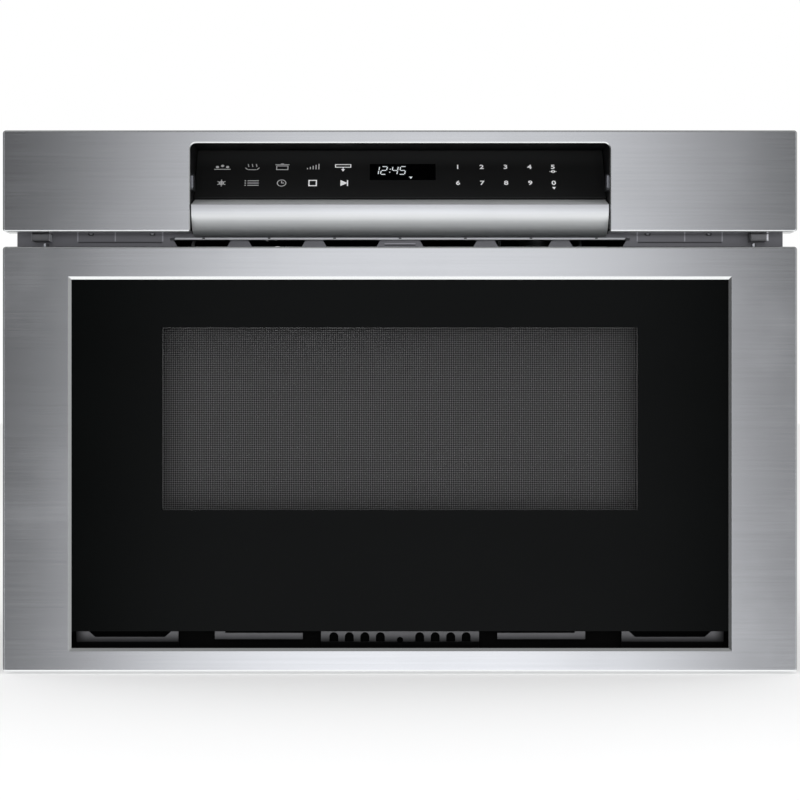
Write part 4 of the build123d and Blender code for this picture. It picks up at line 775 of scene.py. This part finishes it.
class DRAWER_OT_touch_glass(Operator):
    """Sloped touch glass with its display, number keys and pictograms"""

    bl_idname = "drawer.touch_glass"
    bl_label = "Touch glass"

    def execute(self, context):
        taken_up("touch_glass", self.glass("touch_glass_look", colours().touch_black),
                 sizes().glass_edge, 3)
        self.display()
        # The prints glow through their emission, which is painted light: the numbers, small marks and three
        # main signs more, the plain signs less.
        bright = painted("bright_print_look", colours().print_white, 0.5, lit=0.42)
        on_console([*self.numbers(), *self.small_marks()], "touch_glass_numbers", bright)
        grey = painted("print_look", colours().print_grey, 0.5, lit=0.16)
        plain, strong = self.pictograms()
        on_console(plain, "touch_glass_signs", grey)
        on_console(strong, "touch_glass_main_signs", bright)
        dressed(moulded("module_look", colours().liner_black, 500.0, 0.4), "display_module")
        return {"FINISHED"}

    def glass(self, name, base):
        """Black print with faint wiping marks, brightened towards the upper edge by painted light against
        the liner's shadow.
        """
        graph = Graph(name)
        wipes = graph.noise((9.0, 18.0, 18.0), detail=5.0)
        touches = graph.eased(graph.cells((45.0, 60.0, 60.0)), 0.30, 0.12)
        brightening = graph.eased(graph.axes()[2], sizes().brightening_start, sizes().brightening_end)
        tone = graph.mixed(wipes, shade_of(base, 0.8), shade_of(base, 1.25))
        brightened_tone = graph.mixed(brightening, tone, shade_of(base, 2.3))
        return graph.finished(graph.surface(
            Base_Color=brightened_tone, Specular_IOR_Level=0.12,
            Roughness=0.05 + wipes * 0.04 + touches * 0.08))

    def display(self):
        """The darker display window and the lit clock figures on it."""
        size = sizes()
        window = bar(size.display_x, size.display_up, size.display_width, size.display_height)
        window.location.z = size.print_height / 4
        window.scale.z = size.print_height / 2
        on_console([window], "display_window",
                   self.glass("display_look", colours().display_black))
        lit = self.clock()
        graph = Graph("clock_look")
        glow = graph.noise((900.0, 900.0, 900.0), detail=2.0)
        tone = graph.mixed(glow, shade_of(colours().clock_white, 0.85),
                           shade_of(colours().clock_white, 1.05))
        look = graph.finished(graph.surface(Base_Color=tone, Roughness=0.4,
                                            Emission_Color=tone, Emission_Strength=0.5))
        on_console(lit, "display_figures", look)

    def clock(self):
        """Seven-segment figures that lean to the right."""
        size = sizes()
        lean = size.clock_lean
        tall = size.clock_height
        wide = tall * 0.50
        stroke = size.stroke * 1.25
        step = wide + stroke * 2.3
        shapes = {"1": "bc", "2": "abged", "4": "fgbc", "5": "afgcd"}
        lit = []
        left = size.clock_left
        for place, text in enumerate(("1", "2", ":", "4", "5")):
            if text == ":":
                lit += [blob(left + stroke + sin(lean) * part * tall, size.clock_foot + part * tall,
                             stroke * 0.62, 12) for part in (0.28, 0.66)]
                left += stroke * 3.2
                continue
            for name in shapes[text]:
                lit.append(self.segment(name, left, wide, tall, stroke, lean))
            left += step
        lit.append(blob(size.arrow_x, size.arrow_up, 0.0020, 3, pi))
        return lit

    def segment(self, name, left, wide, tall, stroke, lean):
        """One segment: a at the top, g in the middle, d at the foot, f and e left, b and c right."""
        foot = sizes().clock_foot
        if name in "agd":
            rise = {"d": 0.0, "g": tall / 2, "a": tall}[name]
            return bar(left + wide / 2 + rise * sin(lean), foot + rise, wide - stroke, stroke)
        rise = tall * (0.75 if name in "fb" else 0.25)
        side = 0.0 if name in "fe" else wide
        return bar(left + side + rise * sin(lean), foot + rise, stroke, tall / 2 - stroke, -lean)

    def numbers(self):
        """The digits 1 to 9 and 0 in two rows of five."""
        size = sizes()
        rows = ("12345", "67890")
        return [figure(digit, x, up, size.digit_height)
                for row, up in zip(rows, size.key_rows)
                for digit, x in zip(row, size.digit_columns)]

    def pictograms(self):
        """Ten plain signs in two rows of five: the seven common ones and the three main ones."""
        size = sizes()
        signs = (self.kernels, self.bowl, self.pot, self.levels, self.drawer,
                 self.star, self.menu, self.clock_face, self.square, self.arrow)
        plain, strong = [], []
        for row, up in enumerate(size.key_rows):
            for column, x in enumerate(size.function_columns):
                group = strong if row + column > 3 else plain
                group += signs[row * 5 + column](x, up, size.stroke)
        return plain, strong

    def kernels(self, x, up, stroke):
        return [blob(x + step, up + rise, 0.0016, 16)
                for step, rise in ((-0.005, 0.0), (0.0, 0.0016), (0.005, 0.0))] + [
                    bar(x, up - 0.0030, 0.016, stroke)]

    def bowl(self, x, up, stroke):
        return [bar(x, up - 0.0036, 0.008, stroke), bar(x - 0.0058, up - 0.0022, stroke, 0.0034, 0.7),
                bar(x + 0.0058, up - 0.0022, stroke, 0.0034, -0.7)] + [
                    bar(x + step, up + 0.0022, stroke, 0.0040, 0.2) for step in (-0.004, 0.0, 0.004)]

    def pot(self, x, up, stroke):
        return self.outline(x, up - 0.0010, 0.011, 0.0050, stroke) + [
            bar(x, up + 0.0032, 0.014, stroke), bar(x, up + 0.0044, 0.003, stroke)]

    def levels(self, x, up, stroke):
        return [bar(x + step * 0.0028, up - 0.0030 + tall / 2, stroke * 1.3, tall)
                for step, tall in ((-2, 0.0018), (-1, 0.0032), (0, 0.0046), (1, 0.0060), (2, 0.0074))]

    def drawer(self, x, up, stroke):
        return self.outline(x, up + 0.0016, 0.015, 0.0036, stroke * 1.2) + [
            bar(x, up - 0.0020, stroke * 1.2, 0.0030), blob(x, up - 0.0040, 0.0022, 3, pi)]

    def star(self, x, up, stroke):
        return [bar(x, up, stroke, 0.0090, turn * pi / 3) for turn in range(3)] + [
            ring(x, up, 0.0022)]

    def menu(self, x, up, stroke):
        lines = [bar(x + 0.0015, up + rise, 0.0110, stroke) for rise in (-0.003, 0.0, 0.003)]
        return lines + [blob(x - 0.0062, up + rise, 0.0007, 12) for rise in (-0.003, 0.0, 0.003)]

    def clock_face(self, x, up, stroke):
        return [ring(x, up, 0.0042), bar(x, up + 0.0013, stroke, 0.0030),
                bar(x + 0.0011, up, 0.0026, stroke)]

    def square(self, x, up, stroke):
        return self.outline(x, up, 0.0072, 0.0072, stroke * 1.5)

    def arrow(self, x, up, stroke):
        return [blob(x, up, 0.0046, 3, -pi / 2), bar(x + 0.0046, up, stroke * 1.5, 0.0078)]

    def outline(self, x, up, wide, tall, stroke):
        """A rectangle drawn as four bars."""
        return [bar(x, up + tall / 2, wide + stroke, stroke), bar(x, up - tall / 2, wide + stroke, stroke),
                bar(x - wide / 2, up, stroke, tall), bar(x + wide / 2, up, stroke, tall)]

    def small_marks(self):
        """The small ring sign under the upper right number and the triangle under the lower."""
        size = sizes()
        x = size.digit_columns[-1]
        upper, lower = size.key_rows
        return [ring(x, upper - 0.0060, 0.0016), bar(x, upper - 0.0060, 0.0070, size.stroke * 0.7),
                blob(x, lower - 0.0064, 0.0021, 3, pi)]


class DRAWER_OT_console(Operator):
    """Recess liner, small side brackets, deflector strip and the board behind the glass"""

    bl_idname = "drawer.console"
    bl_label = "Console recess"

    def execute(self, context):
        taken_up("console_liner", moulded("liner_look", colours().liner_black, 700.0, 0.45),
                 sizes().casting_edge)
        taken_up("console_brackets",
                 brushed("console_bracket_look", colours().bracket_steel, 1, 0.35, 0.1))
        taken_up("air_deflector", brushed("deflector_look", colours().face_steel, 0, 0.4, 0.1,
                                          marks=self.notches), sizes().sheet_edge)
        dressed(self.board(), "control_board")
        return {"FINISHED"}

    def notches(self, graph):
        """Painted shade: dark insides of the notches along the deflector's front edge."""
        x, _, z = graph.axes()
        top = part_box("air_deflector")[1].z
        across = abs(((x / sizes().notch_pitch + 0.5).from_middle()) * sizes().notch_pitch)
        inside = graph.eased(across, 0.0015, 0.0010) * graph.eased(z, top - 0.0014, top - 0.0008)
        return 1.0 - inside * 0.92

    def board(self):
        """Green board with copper tracks under the lacquer."""
        graph = Graph("board_look")
        tracks = graph.cells((140.0, 260.0, 140.0), feature="DISTANCE_TO_EDGE")
        copper = graph.eased(tracks, 0.12, 0.06)
        weave = graph.noise((1500.0, 1500.0, 1500.0), detail=2.0)
        base = graph.mixed(copper, shade_of(colours().board_green, 0.8),
                           shade_of(colours().board_green, 1.7))
        return graph.finished(graph.surface(
            Base_Color=base, Roughness=0.25 + weave * 0.2,
            Normal=graph.bumped(copper + weave * 0.2, 0.3, 0.0002)))


class DRAWER_OT_front_frame(Operator):
    """Recessed frame with its slots, the guide blocks, studs and hex screws"""

    bl_idname = "drawer.front_frame"
    bl_label = "Front frame"

    def execute(self, context):
        taken_up("front_frame", brushed("frame_look", colours().frame_steel, 0, 0.38, 0.1,
                                        marks=self.pad_edges), sizes().pressed_edge)
        taken_up("guide_blocks", moulded("block_look", colours().block_grey, 600.0, 0.5,
                                         marks=self.block_light_and_shade), sizes().sheet_edge)
        plated = brushed("screw_look", colours().screw_steel, 0, 0.28, 0.08)
        for node in ("door_screws", "panel_screws"):
            taken_up(node, plated)
        taken_up("guide_studs", brushed("stud_look", colours().screw_steel, 2, 0.28, 0.08,
                                        marks=self.stud_highlights))
        taken_up("fascia_screws", brushed("fascia_screw_look", colours().screw_steel, 0, 0.28, 0.08,
                                          marks=self.head_highlights))
        return {"FINISHED"}

    def pad_edges(self, graph):
        """Painted highlights on the edges of the pads and the middle tab, and painted shade in the corner
        under them.
        """
        size = sizes()
        x, _, z = graph.axes()
        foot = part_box("control_fascia")[0].z - size.pad_drop
        inner, seam, outer = size.pad_edges
        nearest = abs(abs(x) - inner).least(abs(abs(x) - seam)).least(abs(abs(x) - outer))
        wear_and_highlight = graph.eased(nearest, 0.0009, 0.0003) * graph.eased(z, foot, foot + 0.0015)
        between = graph.eased(abs(x), inner, inner + 0.001) * graph.eased(abs(x), outer, outer - 0.001)
        tab_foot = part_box("air_deflector")[0].z - size.tab_drop
        tab = graph.eased(abs(x), size.tab_reach + 0.0014, size.tab_reach)
        wear_and_highlight = wear_and_highlight.most(graph.eased(abs(z - tab_foot - 0.0004), 0.0008, 0.0002) * tab)
        dust_and_shade = (graph.eased(abs(z - foot + 0.0003), 0.0010, 0.0003) * between).most(
            graph.eased(abs(z - tab_foot + 0.0010), 0.0010, 0.0003) * tab)
        return 1.0 + wear_and_highlight * 1.1 - dust_and_shade * 0.6

    def block_light_and_shade(self, graph):
        """Painted light and shade on the guide blocks: darker fronts, the right-hand block lighter than the
        left, and painted highlights on the right-hand side of each block and on the left block's outer rim.
        """
        x = graph.axes()[0]
        low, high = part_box("guide_blocks")
        width = sizes().block_width
        left = graph.eased(x, low.x + width - 0.0003, low.x + width - 0.0001)
        right = graph.eased(x, high.x - 0.0022, high.x - 0.0017)
        bright = (left * (x < 0.0)).most(right)
        rim = graph.eased(x, low.x + 0.0008, low.x + 0.0003)
        return 0.62 + 0.20 * (x > 0.0) + bright * 3.4 + rim * 0.9

    def stud_highlights(self, graph):
        """A painted highlight down the left half of each stud, and painted shade on the right half."""
        x = graph.axes()[0]
        across = x - (1.0 - 2.0 * (x < 0.0)) * (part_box("guide_studs")[1].x - 0.0020)
        stripe = graph.eased(abs(across + 0.0008), 0.0013, 0.0006)
        return 0.22 + stripe * 1.7

    def head_highlights(self, graph):
        """A painted highlight in the middle of each head and painted shade round it."""
        x, _, z = graph.axes()
        low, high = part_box("fascia_screws")
        near, far = sizes().screw_places
        across = abs(abs(x) - near).least(abs(abs(x) - far))
        distance = (across ** 2 + (z - (low.z + high.z) / 2) ** 2) ** 0.5
        return 0.18 + graph.eased(distance, 0.0026, 0.0014) * 1.8


class DRAWER_OT_housing(Operator):
    """Galvanised sheets of the housing, and the cable gland"""

    bl_idname = "drawer.housing"
    bl_label = "Housing"

    def execute(self, context):
        zinc = spangled("zinc_look", colours().zinc_sheet, 85.0, 0.32)
        for node in ("side_panel_left", "side_panel_right", "top_panel", "base_pan"):
            taken_up(node, zinc, sizes().sheet_edge)
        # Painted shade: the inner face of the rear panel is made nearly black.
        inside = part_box("rear_panel")[1].y - 0.0008
        taken_up("rear_panel", spangled("rear_zinc_look", colours().zinc_sheet, 85.0, 0.32,
                                        shaded_before=inside), sizes().sheet_edge)
        taken_up("cable_gland", moulded("gland_look", colours().liner_black, 500.0, 0.45))
        return {"FINISHED"}


class DRAWER_OT_oven(Operator):
    """Oven cavity, stirrer, choke frame and the open-topped tub with its glass and ceramic floor"""

    bl_idname = "drawer.oven"
    bl_label = "Oven"

    def execute(self, context):
        lining = brushed("cavity_look", colours().cavity_steel, 1, 0.3, 0.05)
        dressed(lining, "cavity_floor", "cavity_side_left", "cavity_side_right", "cavity_back")
        dressed(spangled("shell_look", colours().shell_grey, 85.0, 0.45),
                "cavity_ceiling", "waveguide")
        tub = brushed("tub_look", colours().cavity_steel, 0, 0.27, 0.05)
        taken_up("drawer_tub", tub, sizes().sheet_edge)
        taken_up("choke_frame", painted("choke_look", colours().inner_black, 0.5), sizes().sheet_edge)
        taken_up("ceramic_floor", self.ceramic(), sizes().glass_edge)
        taken_up("stirrer_cover", moulded("cover_look", colours().cover_white, 400.0, 0.4),
                 sizes().casting_edge)
        taken_up("stirrer_blade", brushed("stirrer_look", colours().stirrer_alloy, 0, 0.3, 0.08))
        taken_up("inner_glass", self.pane(), sizes().glass_edge)
        return {"FINISHED"}

    def ceramic(self):
        """Pale glazed ceramic with darker flecks."""
        graph = Graph("ceramic_look")
        flecks = graph.eased(graph.cells((420.0, 420.0, 420.0)), 0.22, 0.12)
        cloud = graph.noise((16.0, 16.0, 16.0), detail=5.0)
        base = graph.mixed(cloud, shade_of(colours().ceramic, 0.9), shade_of(colours().ceramic, 1.06))
        flecked = graph.mixed(flecks * 0.3, base, (0.35, 0.33, 0.30, 1.0))
        return graph.finished(graph.surface(
            Base_Color=flecked, Roughness=0.14 + cloud * 0.1, Coat_Weight=0.3,
            Normal=graph.bumped(cloud, 0.08, 0.0004)))

    def pane(self):
        """Clear tinted glass with faint wiping marks."""
        graph = Graph("inner_glass_look")
        marks = graph.noise((8.0, 8.0, 11.0), detail=5.0)
        tint = graph.mixed(marks, (0.30, 0.33, 0.32, 1.0), (0.42, 0.46, 0.45, 1.0))
        return graph.finished(graph.surface(
            Base_Color=tint, Roughness=0.04 + marks * 0.06, Alpha=0.16 + marks * 0.08))


class DRAWER_OT_runners(Operator):
    """Telescopic slides and the arms that carry the drawer"""

    bl_idname = "drawer.runners"
    bl_label = "Slides"

    def execute(self, context):
        steel = brushed("slide_look", colours().slide_steel, 1, 0.26, 0.08)
        for side in ("left", "right"):
            for part in ("outer", "middle", "inner"):
                taken_up(f"slide_{part}_{side}", steel, sizes().sheet_edge)
        taken_up("slide_arms", steel, sizes().sheet_edge)
        return {"FINISHED"}


class DRAWER_OT_drive(Operator):
    """Rack, pinion, gear motor and latch parts"""

    bl_idname = "drawer.drive"
    bl_label = "Drive"

    def execute(self, context):
        nylon = moulded("nylon_look", colours().nylon_white, 500.0, 0.42, 0.12)
        for node in ("drive_rack", "drive_pinion", "rack_guide"):
            taken_up(node, nylon)
        taken_up("motor_bracket", brushed("bracket_look", colours().bracket_steel, 1, 0.36, 0.1),
                 sizes().sheet_edge)
        taken_up("drive_motor", spangled("motor_look", colours().motor_metal, 160.0, 0.36))
        taken_up("latch_hooks", brushed("latch_look", colours().bracket_steel, 1, 0.32, 0.1),
                 sizes().sheet_edge)
        taken_up("interlock_switches", moulded("switch_look", colours().liner_black, 500.0, 0.5))
        return {"FINISHED"}


class DRAWER_OT_electrics(Operator):
    """Magnetron, transformer, capacitor, mains filter, stirrer motor and lamp"""

    bl_idname = "drawer.electrics"
    bl_label = "Electrics"

    def execute(self, context):
        taken_up("magnetron", spangled("magnetron_look", colours().magnetron_steel, 120.0, 0.34))
        taken_up("hv_transformer", layered("core_look", colours().core_steel, 0, 0.0012, 0.45))
        taken_up("hv_capacitor", brushed("can_look", colours().can_metal, 2, 0.3, 0.06))
        taken_up("noise_filter", moulded("filter_look", colours().block_grey, 500.0, 0.45))
        taken_up("stirrer_motor", spangled("stirrer_motor_look", colours().motor_metal, 160.0, 0.36))
        taken_up("cavity_lamp", moulded("lamp_look", colours().cover_white, 400.0, 0.3))
        return {"FINISHED"}


class DRAWER_OT_rotor(Operator):
    """Fan rotor with a bored hub and seven wide, twisted blades"""

    bl_idname = "drawer.rotor"
    bl_label = "Fan rotor"
    blades = 7

    def execute(self, context):
        size = sizes()
        low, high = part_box("fan_rotor")
        motor_low, motor_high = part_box("fan_motor")
        hub = self.hub(size, high.y - low.y)
        blade = self.blade(size)
        parts = [hub]
        for number in range(self.blades):
            only(blade)
            bpy.ops.object.duplicate()
            copy = context.active_object
            copy.rotation_euler = (0, 0, number * 2 * pi / self.blades)
            bpy.ops.object.transform_apply(location=False, rotation=True, scale=False)
            parts.append(copy)
        bpy.data.objects.remove(blade)
        rotor = joined(parts, "fan_rotor_finished")
        only(rotor)
        bpy.ops.object.transform_apply(location=True, rotation=True, scale=True)
        rotor.rotation_euler = (pi / 2, 0, 0)
        rotor.location = ((motor_low.x + motor_high.x) / 2, (low.y + high.y) / 2,
                          (motor_low.z + motor_high.z) / 2)
        settled(rotor, moulded("rotor_look", colours().fan_black, 500.0, 0.55, shine=0.08),
                "fan")
        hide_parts("fan_rotor")
        return {"FINISHED"}

    def hub(self, size, depth):
        """A round hub with a bore for the shaft."""
        bpy.ops.mesh.primitive_cylinder_add(vertices=16, radius=size.rotor_bore, depth=depth * 2)
        cutter = bpy.context.active_object
        bpy.ops.mesh.primitive_cylinder_add(vertices=48, radius=size.rotor_hub, depth=depth)
        hub = bpy.context.active_object
        bore = hub.modifiers.new("bore", "BOOLEAN")
        bore.operation = "DIFFERENCE"
        bore.object = cutter
        only(hub)
        bpy.ops.object.modifier_apply(modifier=bore.name)
        bpy.data.objects.remove(cutter)
        return softened(hub, size.hub_edge)

    def blade(self, size):
        """One blade along X, narrow and steep at the hub, wide and flat at the tip."""
        reach = size.rotor_tip - size.rotor_hub + size.blade_root
        bpy.ops.mesh.primitive_cube_add(size=1, scale=(reach, size.blade_chord, size.blade_thickness))
        blade = bpy.context.active_object
        bpy.ops.object.transform_apply(location=False, rotation=False, scale=True)
        bpy.ops.object.mode_set(mode="EDIT")
        bpy.ops.mesh.select_all(action="SELECT")
        bpy.ops.mesh.subdivide(number_cuts=6)
        bpy.ops.object.mode_set(mode="OBJECT")
        for method, setting, amount in (("TAPER", "factor", size.blade_taper),
                                        ("TWIST", "angle", size.blade_twist)):
            change = blade.modifiers.new(method, "SIMPLE_DEFORM")
            change.deform_method = method
            change.deform_axis = "X"
            setattr(change, setting, amount)
            bpy.ops.object.modifier_apply(modifier=change.name)
        blade.rotation_euler = (size.blade_pitch, 0, 0)
        blade.location = (size.rotor_hub - size.blade_root + reach / 2, 0, 0)
        bpy.ops.object.transform_apply(location=True, rotation=True, scale=True)
        return smooth(blade, 40.0)


class DRAWER_OT_cooling(Operator):
    """Fan housing and motor"""

    bl_idname = "drawer.cooling"
    bl_label = "Fan housing"

    def execute(self, context):
        black = moulded("fan_look", colours().fan_black, 500.0, 0.55, shine=0.08)
        taken_up("fan_housing", black, sizes().sheet_edge)
        taken_up("fan_motor", spangled("fan_motor_look", colours().motor_metal, 160.0, 0.36))
        return {"FINISHED"}


class DRAWER_OT_studio(Operator):
    """Pale floor, white surround, reflector card, lamps and camera"""

    bl_idname = "drawer.studio"
    bl_label = "Studio"

    def execute(self, context):
        self.surround(context.scene)
        self.floor()
        self.card()
        self.lamps()
        self.camera(context.scene)
        context.scene.view_settings.view_transform = "Standard"
        return {"FINISHED"}

    def surround(self, scene):
        """White to the camera and an even grey to matt surfaces.

        Mirrors see darker sides, most of all the left one, a darker top and a bright floor."""
        world = bpy.data.worlds.new("surround")
        scene.world = world
        graph = Graph("surround", world)
        across, _, up = (Value(graph, socket) for socket in graph.node(
            "ShaderNodeSeparateXYZ", values=(graph.node("ShaderNodeTexCoord"),)).socket.node.outputs)
        left = graph.eased(across, -0.45, -0.9)
        right = graph.eased(across, 0.45, 0.9)
        below = graph.eased(up, -0.35, -0.8)
        above = graph.eased(up, 0.45, 0.9)
        mirrored = studio().mirror_level - 0.68 * left - 0.25 * right + 0.80 * below - 0.45 * above
        path = graph.node("ShaderNodeLightPath").socket.node
        is_seen = Value(graph, path.outputs["Is Camera Ray"])
        is_mirror = Value(graph, path.outputs["Is Glossy Ray"])
        level = is_seen + (1.0 - is_seen) * (is_mirror * mirrored + (1.0 - is_mirror) * studio().matt_level)
        shade = graph.node("ShaderNodeCombineColor", values=(level, level, level))
        light = graph.node("ShaderNodeBackground", values={"Color": shade})
        graph.node("ShaderNodeOutputWorld", values=(light,))

    def floor(self):
        room = studio()
        bpy.ops.mesh.primitive_plane_add(size=room.floor_size,
                                         location=(0, room.floor_shift, -room.floor_gap))
        floor = bpy.context.active_object
        floor.name = "studio_floor"
        graph = Graph("studio_floor_look")
        tone = graph.mixed(graph.noise((1.5, 1.5, 1.5)), (0.93, 0.93, 0.93, 1.0), (0.96, 0.96, 0.96, 1.0))
        coated(floor, graph.finished(graph.surface(
            Base_Color=tone, Roughness=0.9, Specular_IOR_Level=0.0,
            Emission_Color=(1, 1, 1, 1), Emission_Strength=0.12)))
        floor.visible_glossy = False

    def card(self):
        """A wide card behind the camera, brighter in the middle, that the steel mirrors.

        Its levels are counted at the places on the face that mirror them to the camera: across
        from the middle, and as a drop below a height near the drawer front's upper edge."""
        room = studio()
        bpy.ops.mesh.primitive_plane_add(size=1.0)
        card = bpy.context.active_object
        card.name = "studio_card"
        card.scale = (*room.card_size, 1.0)
        card.rotation_euler = (pi / 2, 0, 0)
        card.location = (0, cad_bounds[0][1] - room.card_distance, room.card_middle)
        only(card)
        bpy.ops.object.transform_apply(location=True, rotation=True, scale=True)
        graph = Graph("studio_card_look")
        x, _, z = graph.axes()
        zoom = 1 + room.card_distance / room.eye_distance
        across = x / zoom
        drop = room.drop_top - room.eye_height - (z - room.eye_height) / zoom
        left = 0.014 + 0.09 * drop + self.hump(across, 0.665, 0.271 + 0.027 * drop, 4.5 + 3.1 * drop)
        right = 0.066 + 0.17 * drop + self.hump(across, 0.605, 0.299, 6.2)
        is_right = graph.eased(across, -0.05, 0.05)
        level = left * (1.0 - is_right) + right * is_right
        beyond = graph.eased(abs(across), 0.50, 0.74) * 0.75
        light = (level / 0.6 + beyond) * (1.0 + 0.5 * drop)
        shade = graph.node("ShaderNodeCombineColor", values=(light, light, light * 1.05))
        lit = graph.node("ShaderNodeEmission", values=(shade, 1.0))
        coated(card, graph.finished(lit))
        card.visible_camera = False
        card.visible_shadow = False

    def hump(self, across, height, half_width, steepness):
        """A level of the given height in the middle that falls to nothing past the half width."""
        return height * 2.718 ** (0.0 - (abs(across) / half_width) ** steepness)

    def lamps(self):
        """Three soft lamps: two above the front corners and one in front."""
        room = studio()
        aside, ahead, above = room.corner_lamp
        for name, place, power in (("left", (-aside, ahead, above), room.corner_power),
                                   ("right", (aside, ahead, above), room.corner_power),
                                   ("front", room.front_lamp, room.front_power)):
            bpy.ops.object.light_add(type="AREA", location=place)
            lamp = bpy.context.active_object
            lamp.name = "studio_lamp_" + name
            lamp.data.energy = power
            lamp.data.size = room.lamp_size
            lamp.visible_glossy = False
            aim = Vector((0, 0, room.aim_height)) - lamp.location
            lamp.rotation_euler = aim.to_track_quat("-Z", "Y").to_euler()

    def camera(self, scene):
        room = studio()
        eye = (0.0, cad_bounds[0][1] - room.eye_distance, room.eye_height)
        bpy.ops.object.camera_add(location=eye, rotation=(pi / 2, 0, 0))
        camera = bpy.context.active_object
        camera.name = "photo_camera"
        camera.data.lens = room.focal
        camera.data.sensor_width = 36.0
        camera.data.clip_start = 0.05
        camera.data.clip_end = 60.0
        scene.camera = camera


OPERATORS = (
    DRAWER_OT_face,
    DRAWER_OT_front_glass,
    DRAWER_OT_screen,
    DRAWER_OT_vent_plate,
    DRAWER_OT_touch_glass,
    DRAWER_OT_console,
    DRAWER_OT_front_frame,
    DRAWER_OT_housing,
    DRAWER_OT_oven,
    DRAWER_OT_runners,
    DRAWER_OT_drive,
    DRAWER_OT_electrics,
    DRAWER_OT_rotor,
    DRAWER_OT_cooling,
    DRAWER_OT_studio,
)


class DRAWER_PT_looks(Panel):
    """Lists the steps that dress the microwave drawer"""

    bl_idname = "DRAWER_PT_looks"
    bl_label = "Microwave drawer"
    bl_space_type = "VIEW_3D"
    bl_region_type = "UI"
    bl_category = "Drawer"

    def draw(self, context):
        for step in OPERATORS:
            self.layout.operator(step.bl_idname)


CLASSES = (DrawerSizes, DrawerColours, StudioSizes, *OPERATORS, DRAWER_PT_looks)


def register():
    for made in CLASSES:
        bpy.utils.register_class(made)
    bpy.types.Scene.drawer_sizes = PointerProperty(type=DrawerSizes)
    bpy.types.Scene.drawer_colours = PointerProperty(type=DrawerColours)
    bpy.types.Scene.drawer_studio = PointerProperty(type=StudioSizes)


def unregister():
    del bpy.types.Scene.drawer_studio
    del bpy.types.Scene.drawer_colours
    del bpy.types.Scene.drawer_sizes
    for made in reversed(CLASSES):
        bpy.utils.unregister_class(made)


def main():
    register()
    for step in OPERATORS:
        group, name = step.bl_idname.split(".")
        getattr(getattr(bpy.ops, group), name)()


if __name__ == "__main__":
    main()
